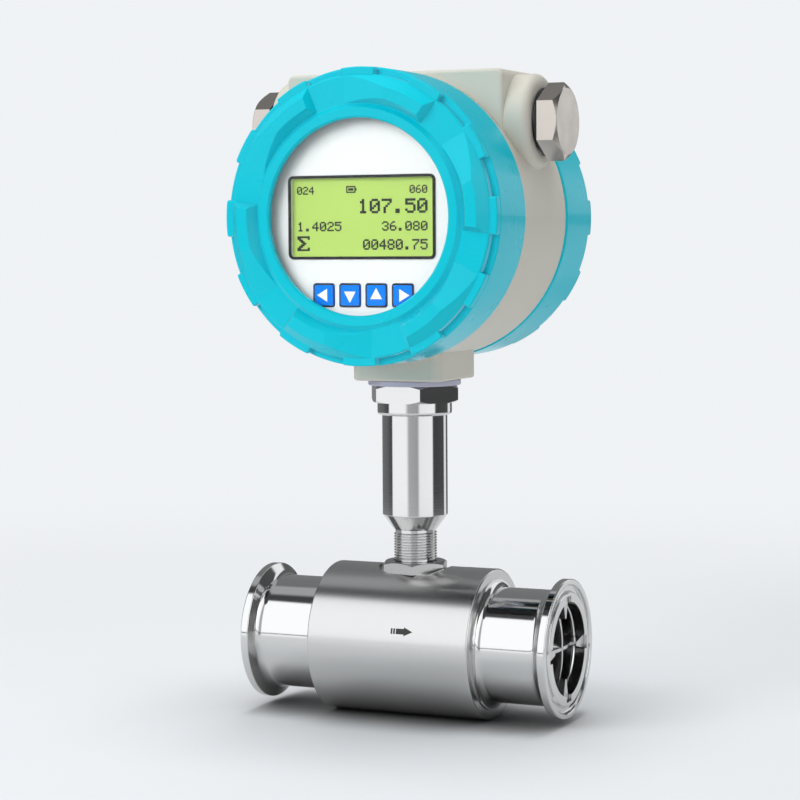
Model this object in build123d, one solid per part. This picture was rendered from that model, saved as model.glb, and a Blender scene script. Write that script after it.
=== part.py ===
"""Turbine flow meter, nominal bore 32 mm, with clamp ferrules and a turret display head.

The frame's origin is the centre of the inlet ferrule's gasket face, on the pipe's axis.
+X is the direction of flow, +Z points up through the head and -Y is the side of the display.
All sizes are in millimetres.
"""
import math
import os

from build123d import *

# Pipe run
FACE_TO_FACE = 120.0
BORE_R = 16.0
BODY_R = 27.5
BODY_LENGTH = 63.0
BODY_EDGE = 0.6
TUBE_R = 21.0
WELD_FILLET = 2.4
WELD_LIP = 0.5

# Clamp ferrule and the mouth inside it
FERRULE_R = 25.25
FERRULE_RIM = 2.85
FERRULE_CONE = 2.6
FERRULE_FILLET = 3.0
FERRULE_EDGE = 0.4
GASKET_GROOVE_R = 21.9
GASKET_GROOVE_WIDTH = 2.8
GASKET_GROOVE_DEPTH = 1.3
MOUTH_R = 17.0
MOUTH_DEPTH = 9.0
KEYWAY_WIDTH = 5.0
KEYWAY_R = 19.2
RING_DEPTH = 4.4
RING_WIRE_R = 0.6
RING_GROOVE_DEPTH = 0.7
RING_SPLIT_ANGLE = 12.0

# Flow guides, bushes and rotor
NOSE_DEPTH = 1.6
NOSE_LENGTH = 26.0
NOSE_FULLNESS = 0.55
HUB_R = 6.5
VANE_COUNT = 4
VANE_THICKNESS = 1.2
VANE_WALL_DEPTH = 5.2
VANE_BOW = 1.4
VANE_END_GAP = 6.0
FOOT_WIDTH = 4.2
FOOT_INNER_R = 11.0
FOOT_FRONT_DEPTH = 1.2
BUSH_R = 3.0
BUSH_LENGTH = 7.0
SHAFT_R = 1.5
SHAFT_END_GAP = 0.5
BEARING_CLEARANCE = 0.03
ROTOR_LENGTH = 14.0
ROTOR_END_PLAY = 0.3
ROTOR_TIP_GAP = 0.5
BLADE_COUNT = 6
BLADE_THICKNESS = 1.1
BLADE_TIP_ANGLE = 35.0
BLADE_INSET = 0.6

# Stem: threaded neck, sensor tube, adapter and washer
SPOT_FACE_Z = 25.3
SPOT_FACE_R = 13.6
POCKET_FLOOR = 1.8
NECK_TIP_GAP = 0.4
THREAD_R = 8.0
THREAD_DEPTH = 0.6
THREAD_LENGTH = 11.7
RUNNING_CLEARANCE = 0.05
LOCK_NUT_FLATS = 22.0
LOCK_NUT_HEIGHT = 4.0
LOCK_NUT_TURN = -12.9
CONE_HEIGHT = 5.5
STEM_R = 12.0
STEM_LENGTH = 36.7
STEM_WALL = 1.6
NECK_BORE_R = 5.6
NECK_FLOOR = 1.0
COLLAR_R = 13.7
COLLAR_HEIGHT = 4.7
COLLAR_EDGE = 1.2
ADAPTER_FLATS = 30.0
ADAPTER_HEX_HEIGHT = 6.2
ADAPTER_PLUG_DEPTH = 7.0
ADAPTER_BORE_R = 5.0
SPIGOT_LENGTH = 11.5
WASHER_R = 17.0
WASHER_THICKNESS = 2.1

# Pick-up inside the stem
CORE_R = 1.6
CORE_LENGTH = 22.0
COIL_LENGTH = 16.0
COIL_WIRE_R = 4.6
BOBBIN_FLANGE = 1.0
MAGNET_LENGTH = 5.0
MAGNET_R = 4.5
PREAMP_WIDTH = 16.0
PREAMP_HEIGHT = 26.0
PREAMP_ABOVE_MAGNET = 3.0
BOARD_THICKNESS = 1.6
CHIP_PLACES = ((4.0, 6.0, 5.0, 1.6), (15.0, 6.0, 6.0, 2.2))
LEAD_R = 1.6
LEAD_LIFT = 0.6
LEAD_BEND_R = 22.0
LEAD_BEND_START = 14.0
LEAD_BEND_END = 3.5

# Head casting
HEAD_HEIGHT = 155.0
RING_R = 51.5
RING_WIDTH = 42.0
RING_EDGE = 0.7
COVER_THREAD_WALL = 5.5
COVER_BORE_R = RING_R - COVER_THREAD_WALL
COVER_THREAD_LENGTH = 12.0
CHAMBER_STEP = 2.0
CHAMBER_R = COVER_BORE_R - CHAMBER_STEP
PARTITION = 3.0
SEAL_SEAT_DEPTH = 2.0
TOP_BLOCK_Y = 36.0
TOP_BLOCK_RISE = 0.4
TOP_BLOCK_TOP = RING_R + TOP_BLOCK_RISE
TOP_BLOCK_BASE = 24.0
TOP_BLOCK_EDGE = 2.5
ENTRY_DROP = 18.4
ENTRY_HEIGHT = TOP_BLOCK_TOP - ENTRY_DROP
ENTRY_INSET = 1.0
ENTRY_FACE = RING_R - ENTRY_INSET
ENTRY_BOSS_LENGTH = 8.5
TOP_BLOCK_X = 2 * (ENTRY_FACE - ENTRY_BOSS_LENGTH)
ENTRY_BOSS_R = 17.2
ENTRY_BOSS_EDGE = 3.0
ENTRY_R = 10.0
ENTRY_DEPTH = 16.0
PASSAGE_R = 5.6
BOTTOM_BLOCK_X = 35.0
BOTTOM_BLOCK_Y = 36.0
BOTTOM_BLOCK_EDGE = 4.0
BOTTOM_SOCKET_DEPTH = 11.8

# Screw covers
COVER_STEP = 0.5
COVER_R = RING_R + COVER_STEP
COVER_RIM_STEP = 2.6
COVER_RIM_R = COVER_R - COVER_RIM_STEP
COVER_SHOULDER = 45.0
COVER_FACE = 48.0
COVER_EDGE = 0.8
SKIRT_WALL = 3.4
SKIRT_THREAD_ROOM = 0.75
SKIRT_END_GAP = 0.5
SKIRT_R = COVER_BORE_R - SKIRT_THREAD_ROOM
SKIRT_BORE_R = SKIRT_R - SKIRT_WALL
BEZEL_TOP = 49.3
MODULE_GAP = 3.85
MODULE_R = SKIRT_BORE_R - MODULE_GAP
WINDOW_OVERLAP = 3.75
WINDOW_R = MODULE_R - WINDOW_OVERLAP
WINDOW_EDGE = 0.6
BEZEL_WIDTH = 3.45
BEZEL_R = WINDOW_R + BEZEL_WIDTH
BEZEL_SLOPE = 1.5
GLASS_SEAT = 47.0
GLASS_OVERLAP = 5.25
GLASS_R = WINDOW_R + GLASS_OVERLAP
GLASS_THICKNESS = 2.8
GLASS_GASKET_THICKNESS = 0.5
GLASS_GASKET_WIDTH = 3.0
LOCK_RING_THICKNESS = 2.2
LOCK_RING_WIDTH = 1.1
FIT_CLEARANCE = 0.1
BLIND_WALL = 4.5
BLIND_DISH_DEPTH = 0.6
LOBE_COUNT = 6
LOBE_CENTRE = 15.0
LOBE_SPAN = 44.0
LOBE_FOOT = 0.2
LOBE_INNER_R = BEZEL_R + BEZEL_SLOPE + LOBE_FOOT
LOBE_OUTER_R = COVER_RIM_R - LOBE_FOOT * 2
LOBE_INNER_SLOPE = 2.3
LOBE_OUTER_SLOPE = 3.3
LOBE_HEIGHT = 3.6
LOBE_END_DRAFT = 24.0
LOBE_FLAT_SHARE = 0.5
LOBE_EDGE = 0.35
LUG_COUNT = 12
LUG_SPAN = 14.6
LUG_TOP = 47.85
LUG_INSET = 0.15
LUG_INNER_R = COVER_RIM_R - 2 * COVER_EDGE
LUG_CORNER = 0.8
LUG_EDGE = 0.6
COVER_SEAL_WIRE_R = 0.9
COVER_SEAL_STEP = 1.0
COVER_SEAL_R = COVER_BORE_R + COVER_SEAL_STEP

# Cable entry plugs
PLUG_FLATS = 24.0
PLUG_HEX_LENGTH = 7.4
PLUG_CHAMFER = 1.5
PLUG_SHANK_LENGTH = 11.5
PLUG_THREAD_ROOM = 0.8
PLUG_TURN = 30.0
PLUG_SEAL_R = 11.2
PLUG_SEAL_WIRE_R = 1.0
PLUG_COUNTERSINK = 0.5

# Display module
MODULE_WALL = 1.0
MODULE_BACK = 22.0
MODULE_LEDGE = 2.5
DIAL_FRONT = 43.0
DIAL_THICKNESS = 1.2
DIAL_EDGE = 0.3
LCD_MARGIN = 10.8
LCD_X = 2 * (MODULE_R - LCD_MARGIN)
LCD_Z = 27.3
LCD_FRAME = 1.0
LCD_FRAME_PROUD = 0.4
LCD_CORNER = 1.0
LCD_THICKNESS = 4.6
LCD_OFFSET_X = -0.6
KEY_PITCH = MODULE_R * 0.266
KEY_SPACE = 1.9
KEY_SIZE = KEY_PITCH - KEY_SPACE
KEY_ROW_Z = LCD_MARGIN - MODULE_R
KEY_CORNER = 0.9
KEY_PROUD = 0.3
KEY_GAP = 0.15
KEY_FLANGE = 0.3
KEY_FLANGE_CORNER = 2.0
KEY_FLANGE_HEIGHT = 0.7
KEY_TRAVEL = 0.5
KEY_STEM_R = 1.4
SWITCH_SIZE = 6.0
SWITCH_HEIGHT = 1.6
PILLAR_FLATS = 7.0
PILLAR_INSET = 11.0
PILLAR_CIRCLE_R = MODULE_R - PILLAR_INSET
PILLAR_COUNT = 3
SCREW_R = 1.5
SCREW_HEAD_R = 2.8
SCREW_HEAD_HEIGHT = 1.8
MODULE_SCREW_LENGTH = 6.0
PILLAR_SOLID = 4.0

# Terminal chamber
TERMINAL_BOARD_R = MODULE_R
POST_INSET = 5.0
POST_R = 3.5
BOARD_SCREW_LENGTH = 4.0
TERMINAL_BOARD_GAP = 6.0
TERMINAL_BLOCK_X = 46.0
TERMINAL_BLOCK_Y = 12.0
TERMINAL_BLOCK_Z = 13.0
TERMINAL_BLOCK_RISE = 12.0
HEADER_DROP = 31.0
HEADER_WIDTH = 8.0
HEADER_HEIGHT = 5.0
TERMINAL_COUNT = 8
TERMINAL_PITCH = 5.4
TERMINAL_SCREW_R = 1.7
TERMINAL_SCREW_DROP = 2.0
TERMINAL_WELL_DEPTH = 2.5
TERMINAL_SCREW_SINK = 0.8
TERMINAL_SLOT_DEPTH = 0.6
TERMINAL_SLOT_WIDTH = 0.6
WIRE_GATE_HEIGHT = 4.0
WIRE_GATE_WIDTH = 3.6
WIRE_GATE_DEPTH = 2.5
CELL_R = 8.5
CELL_LENGTH = 34.5
CELL_DROP = 15.0
CELL_NUB_R = 2.5
CELL_NUB = 1.0
CLIP_WALL = 1.2
CLIP_CLEARANCE = 0.2

# Places worked out from the sizes above
STEM_X = FACE_TO_FACE / 2
FERRULE_LENGTH = (FACE_TO_FACE - BODY_LENGTH) / 2
HUB_END = STEM_X - ROTOR_LENGTH / 2 - ROTOR_END_PLAY
POCKET_Z = BORE_R + POCKET_FLOOR
NECK_TIP_Z = POCKET_Z + NECK_TIP_GAP
NUT_TOP_Z = SPOT_FACE_Z + LOCK_NUT_HEIGHT
THREAD_TOP_Z = NUT_TOP_Z + THREAD_LENGTH
CONE_TOP_Z = THREAD_TOP_Z + CONE_HEIGHT
STEM_TOP_Z = CONE_TOP_Z + STEM_LENGTH
COLLAR_TOP_Z = STEM_TOP_Z + COLLAR_HEIGHT
ADAPTER_TOP_Z = COLLAR_TOP_Z + ADAPTER_HEX_HEIGHT
HEAD_BOTTOM_Z = ADAPTER_TOP_Z + WASHER_THICKNESS
RING_HALF = RING_WIDTH / 2
PARTITION_FRONT = RING_HALF - COVER_THREAD_LENGTH
PARTITION_BACK = PARTITION_FRONT - PARTITION
ENTRY_Z = HEAD_HEIGHT + ENTRY_HEIGHT
SKIRT_END = PARTITION_FRONT + SKIRT_END_GAP
GLASS_POCKET_R = GLASS_R + FIT_CLEARANCE
GLASS_FRONT = GLASS_SEAT - GLASS_GASKET_THICKNESS
GLASS_BACK = GLASS_FRONT - GLASS_THICKNESS
LOCK_RING_BACK = GLASS_BACK - LOCK_RING_THICKNESS
DIAL_BACK = DIAL_FRONT - DIAL_THICKNESS
DISPLAY_BOARD_FRONT = DIAL_BACK - LCD_THICKNESS - 0.2
KEY_FLANGE_TOP = DIAL_BACK - KEY_GAP
PLUG_FACE = ENTRY_FACE + 2 * PLUG_SEAL_WIRE_R

# Local frames: each has +X along the outward axis of the pieces turned on it
FLOW_WAY = Pos(0, 0, 0)
AGAINST_FLOW = Pos(FACE_TO_FACE, 0, 0) * Rot(0, 0, 180)
UP_STEM = Pos(STEM_X, 0, 0) * Rot(0, -90, 0)
FRONT = Pos(STEM_X, 0, HEAD_HEIGHT) * Rot(0, 0, -90)
REAR = Pos(STEM_X, 0, HEAD_HEIGHT) * Rot(0, 0, 90)
RIGHT = Pos(STEM_X, 0, ENTRY_Z)
LEFT = Pos(STEM_X, 0, ENTRY_Z) * Rot(0, 0, 180)


def turned(*corners):
    """A solid of revolution about X. A corner is (along, radius) or (along, radius, fillet)."""
    points = [corner[:2] for corner in corners]
    fillets = [corner[2] if len(corner) > 2 else 0 for corner in corners]
    return revolve(make_face(FilletPolyline(*points, radius=fillets, close=True)), Axis.X)


def rod(start, end, radius):
    """A plain round bar on X."""
    return Pos(start, 0, 0) * extrude(Plane.YZ * Circle(radius), end - start)


def tube(start, end, inner, outer):
    return rod(start, end, outer) - rod(start, end, inner)


def hexagon(start, end, flats, turn=0.0):
    """A six-sided bar on X, measured across its flats, with a corner on Y before the turn."""
    outline = RegularPolygon(flats / math.sqrt(3), 6, rotation=turn)
    return Pos(start, 0, 0) * extrude(Plane.YZ * outline, end - start)


def slab(start, end, width, height, corner=0.0, y=0.0, z=0.0):
    """A plate square to X, with rounded corners."""
    outline = RectangleRounded(width, height, corner) if corner else Rectangle(width, height)
    return Pos(start, y, z) * extrude(Plane.YZ * outline, end - start)


def sector(inner, outer, first_angle, last_angle):
    """A flat piece of a ring, on the plane square to X."""
    span = last_angle - first_angle
    outer_arc = CenterArc((0, 0), outer, first_angle, span)
    inner_arc = CenterArc((0, 0), inner, first_angle, span)
    sides = Line(inner_arc @ 0, outer_arc @ 0) + Line(inner_arc @ 1, outer_arc @ 1)
    return Plane.YZ * make_face(outer_arc + inner_arc + sides)


def spread(piece, count, first_angle=0.0):
    """Copies of a piece, evenly round X."""
    return [Rot(first_angle + 360.0 * number / count, 0, 0) * piece for number in range(count)]


def polar(radius, angle, along):
    turn = math.radians(angle)
    return Vector(along, radius * math.cos(turn), radius * math.sin(turn))


def flow_body():
    """Thick-walled middle of the pipe, with the spot face and the pocket for the sensor's neck."""
    body = turned(
        (FERRULE_LENGTH, BORE_R),
        (FERRULE_LENGTH, BODY_R, BODY_EDGE),
        (FERRULE_LENGTH + BODY_LENGTH, BODY_R, BODY_EDGE),
        (FERRULE_LENGTH + BODY_LENGTH, BORE_R),
    )
    body -= UP_STEM * rod(SPOT_FACE_Z, BODY_R + 1, SPOT_FACE_R)
    return body - UP_STEM * rod(POCKET_Z, BODY_R, THREAD_R + RUNNING_CLEARANCE)


def ferrule():
    """Clamp ferrule welded to the body, with the mouth that holds the flow guide."""
    groove_in = GASKET_GROOVE_R - GASKET_GROOVE_WIDTH / 2
    groove_out = GASKET_GROOVE_R + GASKET_GROOVE_WIDTH / 2
    weld_start = FERRULE_LENGTH - WELD_LIP
    shape = turned(
        (0, MOUTH_R),
        (0, groove_in, FERRULE_EDGE),
        (GASKET_GROOVE_DEPTH, groove_in + FERRULE_EDGE, FERRULE_EDGE),
        (GASKET_GROOVE_DEPTH, groove_out - FERRULE_EDGE, FERRULE_EDGE),
        (0, groove_out, FERRULE_EDGE),
        (0, FERRULE_R, FERRULE_EDGE),
        (FERRULE_RIM, FERRULE_R, FERRULE_EDGE),
        (FERRULE_RIM + FERRULE_CONE, TUBE_R, FERRULE_FILLET),
        (weld_start, TUBE_R, WELD_FILLET),
        (weld_start, TUBE_R + WELD_FILLET + WELD_LIP),
        (FERRULE_LENGTH, TUBE_R + WELD_FILLET + WELD_LIP),
        (FERRULE_LENGTH, BORE_R),
        (MOUTH_DEPTH, BORE_R),
        (MOUTH_DEPTH, MOUTH_R),
    )
    keyway = slab(0, MOUTH_DEPTH, KEYWAY_WIDTH, KEYWAY_R, z=KEYWAY_R / 2 + KEYWAY_WIDTH / 2)
    keyway &= rod(0, MOUTH_DEPTH, KEYWAY_R)
    ring_half = RING_WIRE_R + FIT_CLEARANCE
    ring_groove = rod(RING_DEPTH - ring_half, RING_DEPTH + ring_half, MOUTH_R + RING_GROOVE_DEPTH)
    return shape - spread(keyway, VANE_COUNT) - ring_groove


def guide():
    """Flow guide: a pointed hub on four thin vanes, whose feet drop into the mouth's keyways."""
    nose_end = NOSE_DEPTH + NOSE_LENGTH
    nose = Bezier((nose_end, HUB_R), (nose_end - NOSE_LENGTH * NOSE_FULLNESS, HUB_R), (NOSE_DEPTH, 0))
    hub_line = Polyline((NOSE_DEPTH, 0), (HUB_END, 0), (HUB_END, HUB_R), (nose_end, HUB_R))
    hub = revolve(make_face(nose + hub_line), Axis.X)

    vane_r = BORE_R - FIT_CLEARANCE
    vane_end = HUB_END - VANE_END_GAP
    front_middle = (NOSE_DEPTH + VANE_WALL_DEPTH) / 2 - VANE_BOW
    front = ThreePointArc((NOSE_DEPTH + 1, 0), (front_middle + 1, vane_r / 2), (VANE_WALL_DEPTH, vane_r))
    rest = Polyline((VANE_WALL_DEPTH, vane_r), (vane_end, vane_r), (vane_end, 0), (NOSE_DEPTH + 1, 0))
    plate = extrude(Plane.XZ * make_face(front + rest), VANE_THICKNESS / 2, both=True)

    foot_r = KEYWAY_R - FIT_CLEARANCE * 2
    foot_end = MOUTH_DEPTH - FIT_CLEARANCE
    foot_outline = Polyline(
        (-VANE_THICKNESS / 2, FOOT_INNER_R),
        (VANE_THICKNESS / 2, FOOT_INNER_R),
        (FOOT_WIDTH / 2, MOUTH_R),
        (FOOT_WIDTH / 2, foot_r),
        (-FOOT_WIDTH / 2, foot_r),
        (-FOOT_WIDTH / 2, MOUTH_R),
        close=True,
    )
    foot = extrude(Plane.YZ * make_face(foot_outline), foot_end - FOOT_FRONT_DEPTH)
    foot = Pos(FOOT_FRONT_DEPTH, 0, 0) * foot & rod(0, foot_end, foot_r)
    ring_half = RING_WIRE_R + FIT_CLEARANCE
    ring_slot = tube(RING_DEPTH - ring_half, RING_DEPTH + ring_half, MOUTH_R - ring_half * 2, foot_r + 1)

    shape = hub + spread(plate, VANE_COUNT) + spread(foot, VANE_COUNT) - ring_slot
    return shape - rod(HUB_END - BUSH_LENGTH - SHAFT_END_GAP, HUB_END, BUSH_R)


def snap_ring():
    """Split wire ring that locks the guide's feet in the mouth."""
    centre_r = MOUTH_R + RING_GROOVE_DEPTH - FIT_CLEARANCE - RING_WIRE_R
    section = Pos(RING_DEPTH, centre_r) * Circle(RING_WIRE_R)
    ring = revolve(section, Axis.X, revolution_arc=360 - RING_SPLIT_ANGLE)
    return Rot(45, 0, 0) * ring


def bush():
    """Hard plain bearing in the inner end of a guide's hub."""
    return tube(HUB_END - BUSH_LENGTH, HUB_END, SHAFT_R + BEARING_CLEARANCE, BUSH_R)


def rotor():
    """Turbine wheel: helical blades lofted through turned sections, round a plain hub."""
    start = STEM_X - ROTOR_LENGTH / 2
    tip_r = BORE_R - ROTOR_TIP_GAP
    blade_length = ROTOR_LENGTH - 2 * BLADE_INSET
    twist = math.degrees(blade_length * math.tan(math.radians(BLADE_TIP_ANGLE)) / tip_r)
    root_r = HUB_R - BLADE_THICKNESS
    height = tip_r + 1 - root_r
    steps = 4
    sections = []
    for step in range(steps + 1):
        share = step / steps
        turn = Rot(twist * (share - 0.5), 0, 0)
        place = Pos(start + BLADE_INSET + blade_length * share, 0, 0)
        outline = Pos(0, root_r + height / 2) * Rectangle(BLADE_THICKNESS, height)
        sections.append(place * turn * (Plane.YZ * outline))
    blade = loft(sections)
    wheel = rod(start, start + ROTOR_LENGTH, HUB_R) + spread(blade, BLADE_COUNT)
    wheel &= rod(start, start + ROTOR_LENGTH, tip_r)
    return wheel - rod(start, start + ROTOR_LENGTH, SHAFT_R)


def rotor_shaft():
    half = ROTOR_LENGTH / 2 + ROTOR_END_PLAY + BUSH_LENGTH
    return chamfer(rod(STEM_X - half, STEM_X + half, SHAFT_R).edges(), FIT_CLEARANCE)


def sensor_tube():
    """Closed probe: a threaded neck, a cone and a thin-walled tube, turned from one bar."""
    bore_r = STEM_R - STEM_WALL
    neck_r = THREAD_R - THREAD_DEPTH
    neck_step = NUT_TOP_Z - THREAD_DEPTH
    return turned(
        (NECK_TIP_Z, 0),
        (NECK_TIP_Z, THREAD_R, THREAD_DEPTH),
        (neck_step, THREAD_R),
        (neck_step, neck_r),
        (THREAD_TOP_Z, neck_r),
        (THREAD_TOP_Z, THREAD_R),
        (CONE_TOP_Z, STEM_R, 0.5),
        (STEM_TOP_Z, STEM_R),
        (STEM_TOP_Z, bore_r),
        (CONE_TOP_Z + STEM_WALL, bore_r),
        (THREAD_TOP_Z + STEM_WALL, NECK_BORE_R),
        (NECK_TIP_Z + NECK_FLOOR, NECK_BORE_R),
        (NECK_TIP_Z + NECK_FLOOR, 0),
    )


def stem_adapter():
    """Collar and hexagon that close the tube, with a spigot that screws into the head."""
    inner_r = STEM_R - STEM_WALL - FIT_CLEARANCE / 2
    plug_z = STEM_TOP_Z - ADAPTER_PLUG_DEPTH
    collar = turned(
        (plug_z, ADAPTER_BORE_R),
        (plug_z, inner_r, 0.5),
        (STEM_TOP_Z, inner_r),
        (STEM_TOP_Z, COLLAR_R, COLLAR_EDGE),
        (COLLAR_TOP_Z, COLLAR_R),
        (COLLAR_TOP_Z, ADAPTER_BORE_R),
    )
    spigot_top = ADAPTER_TOP_Z + SPIGOT_LENGTH
    spigot = turned(
        (ADAPTER_TOP_Z, ADAPTER_BORE_R),
        (ADAPTER_TOP_Z, ENTRY_R - FIT_CLEARANCE),
        (spigot_top, ENTRY_R - FIT_CLEARANCE, 1.0),
        (spigot_top, ADAPTER_BORE_R),
    )
    corner_r = ADAPTER_FLATS / math.sqrt(3)
    trim = turned(
        (COLLAR_TOP_Z, 0),
        (COLLAR_TOP_Z, ADAPTER_FLATS / 2 + 0.6),
        (COLLAR_TOP_Z + 1.0, corner_r),
        (ADAPTER_TOP_Z - 1.0, corner_r),
        (ADAPTER_TOP_Z, ADAPTER_FLATS / 2 + 0.6),
        (ADAPTER_TOP_Z, 0),
    )
    nut = hexagon(COLLAR_TOP_Z, ADAPTER_TOP_Z, ADAPTER_FLATS, 90) & trim
    nut -= rod(COLLAR_TOP_Z, ADAPTER_TOP_Z, ADAPTER_BORE_R)
    return collar + nut + spigot


def stem_washer():
    return turned(
        (ADAPTER_TOP_Z, ENTRY_R),
        (ADAPTER_TOP_Z, WASHER_R, 0.5),
        (HEAD_BOTTOM_Z, WASHER_R, 0.5),
        (HEAD_BOTTOM_Z, ENTRY_R),
    )


def lock_nut():
    """Thin hexagon nut that locks the neck on the spot face."""
    flat_r = LOCK_NUT_FLATS / 2
    corner_r = LOCK_NUT_FLATS / math.sqrt(3)
    trim = turned(
        (SPOT_FACE_Z, 0),
        (SPOT_FACE_Z, corner_r),
        (NUT_TOP_Z - 1.0, corner_r),
        (NUT_TOP_Z, flat_r - 0.2),
        (NUT_TOP_Z, 0),
    )
    nut = hexagon(SPOT_FACE_Z, NUT_TOP_Z, LOCK_NUT_FLATS, LOCK_NUT_TURN + 90) & trim
    return nut - rod(SPOT_FACE_Z, NUT_TOP_Z, THREAD_R + RUNNING_CLEARANCE)


def pickup_parts():
    """Iron core, wound bobbin and magnet, stacked on the floor of the neck."""
    floor = NECK_TIP_Z + NECK_FLOOR
    core = rod(floor, floor + CORE_LENGTH, CORE_R)
    bobbin_r = NECK_BORE_R - FIT_CLEARANCE
    coil = turned(
        (floor, CORE_R + FIT_CLEARANCE),
        (floor, bobbin_r),
        (floor + BOBBIN_FLANGE, bobbin_r),
        (floor + BOBBIN_FLANGE, COIL_WIRE_R),
        (floor + COIL_LENGTH - BOBBIN_FLANGE, COIL_WIRE_R),
        (floor + COIL_LENGTH - BOBBIN_FLANGE, bobbin_r),
        (floor + COIL_LENGTH, bobbin_r),
        (floor + COIL_LENGTH, CORE_R + FIT_CLEARANCE),
    )
    magnet = rod(floor + CORE_LENGTH, floor + CORE_LENGTH + MAGNET_LENGTH, MAGNET_R)
    board_z = floor + CORE_LENGTH + MAGNET_LENGTH
    foot = slab(board_z, board_z + PREAMP_ABOVE_MAGNET, BOARD_THICKNESS, MAGNET_R)
    board_start = board_z + PREAMP_ABOVE_MAGNET
    board = foot + slab(board_start, board_start + PREAMP_HEIGHT, BOARD_THICKNESS, PREAMP_WIDTH)
    for rise, length, width, thickness in CHIP_PLACES:
        chip_y = (BOARD_THICKNESS + thickness) / 2
        board += slab(board_start + rise, board_start + rise + length, thickness, width, y=chip_y)
    return core, coil, magnet, board


def housing():
    """Head casting: two screw chambers back to back, a top block with entries, a bottom socket."""
    ring = turned(
        (-RING_HALF, 0),
        (-RING_HALF, RING_R, RING_EDGE),
        (RING_HALF, RING_R, RING_EDGE),
        (RING_HALF, 0),
    )
    block = extrude(
        Plane.XZ * RectangleRounded(TOP_BLOCK_X, TOP_BLOCK_TOP - TOP_BLOCK_BASE, TOP_BLOCK_EDGE),
        TOP_BLOCK_Y / 2,
        both=True,
    )
    block = Pos(0, 0, (TOP_BLOCK_TOP + TOP_BLOCK_BASE) / 2) * block
    block = fillet(block.edges().group_by(Axis.Y)[0] + block.edges().group_by(Axis.Y)[-1], TOP_BLOCK_EDGE / 2)
    bosses = turned(
        (-ENTRY_FACE, 0),
        (-ENTRY_FACE, ENTRY_BOSS_R, ENTRY_BOSS_EDGE),
        (ENTRY_FACE, ENTRY_BOSS_R, ENTRY_BOSS_EDGE),
        (ENTRY_FACE, 0),
    )
    bottom_height = HEAD_HEIGHT - HEAD_BOTTOM_Z
    socket = extrude(RectangleRounded(BOTTOM_BLOCK_X, BOTTOM_BLOCK_Y, BOTTOM_BLOCK_EDGE), bottom_height)
    socket = fillet(socket.edges().group_by(Axis.Z)[0], 1.0)
    cast = FRONT * ring + Pos(STEM_X, 0, HEAD_HEIGHT) * block + RIGHT * bosses
    cast += Pos(STEM_X, 0, HEAD_BOTTOM_Z) * socket

    cast -= FRONT * rod(PARTITION_FRONT, RING_HALF, COVER_BORE_R)
    cast -= FRONT * rod(RING_HALF - SEAL_SEAT_DEPTH, RING_HALF, COVER_SEAL_R + COVER_SEAL_WIRE_R + FIT_CLEARANCE)
    cast -= REAR * rod(PARTITION_FRONT, RING_HALF, COVER_BORE_R)
    cast -= REAR * rod(RING_HALF - SEAL_SEAT_DEPTH, RING_HALF, COVER_SEAL_R + COVER_SEAL_WIRE_R + FIT_CLEARANCE)
    cast -= REAR * rod(-PARTITION_BACK, PARTITION_FRONT, CHAMBER_R)

    passage_end = math.sqrt(CHAMBER_R**2 - ENTRY_HEIGHT**2) - PASSAGE_R
    entry = turned(
        (ENTRY_FACE - ENTRY_DEPTH, 0),
        (ENTRY_FACE - ENTRY_DEPTH, ENTRY_R),
        (ENTRY_FACE - PLUG_COUNTERSINK, ENTRY_R),
        (ENTRY_FACE, ENTRY_R + PLUG_COUNTERSINK),
        (ENTRY_FACE, 0),
    )
    entry += rod(passage_end, ENTRY_FACE - ENTRY_DEPTH, PASSAGE_R)
    cast = cast - RIGHT * entry - LEFT * entry
    socket_top = HEAD_BOTTOM_Z + BOTTOM_SOCKET_DEPTH
    cast -= UP_STEM * rod(HEAD_BOTTOM_Z, socket_top, ENTRY_R)
    return cast - UP_STEM * rod(socket_top, HEAD_HEIGHT - CHAMBER_R + PASSAGE_R, ADAPTER_BORE_R)


def lobe():
    """Raised grip on a cover's face: sloped inside and outside, one steep end, one ramped end."""
    first = LOBE_CENTRE - LOBE_SPAN / 2
    last = LOBE_CENTRE + LOBE_SPAN / 2
    base = COVER_FACE - COVER_EDGE
    top = COVER_FACE + LOBE_HEIGHT
    section = Polyline(
        (base, LOBE_INNER_R + COVER_EDGE),
        (COVER_FACE, LOBE_INNER_R),
        (top, LOBE_INNER_R + LOBE_INNER_SLOPE),
        (top, LOBE_OUTER_R - LOBE_OUTER_SLOPE),
        (COVER_FACE, LOBE_OUTER_R),
        (base, LOBE_OUTER_R - COVER_EDGE),
        close=True,
    )
    grip = revolve(make_face(section), Axis.X, revolution_arc=LOBE_SPAN)
    grip = Rot(first, 0, 0) * grip
    middle_r = (LOBE_INNER_R + LOBE_OUTER_R) / 2
    reach = COVER_R
    ramp_first = first + LOBE_SPAN * LOBE_FLAT_SHARE
    crest = polar(middle_r, ramp_first, top)
    down = (polar(middle_r, last, COVER_FACE - FIT_CLEARANCE) - crest).normalized()
    across = polar(1, (ramp_first + last) / 2, 0)
    ramp = Plane(origin=crest, x_dir=down, z_dir=across.cross(down))
    grip -= ramp * Box(reach, reach, reach, align=(Align.MIN, Align.CENTER, Align.MIN))
    lean = math.radians(LOBE_END_DRAFT)
    around = polar(1, first + 90, 0)
    inward = around * math.cos(lean) - Vector(1, 0, 0) * math.sin(lean)
    end = Plane(origin=polar(middle_r, first, COVER_FACE), x_dir=polar(1, first, 0), z_dir=inward * -1)
    grip -= end * Box(reach, reach, reach, align=(Align.CENTER, Align.CENTER, Align.MIN))
    above = grip.edges().filter_by(lambda edge: edge.center().X > COVER_FACE + LOBE_EDGE)
    return fillet(above, LOBE_EDGE)


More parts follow.
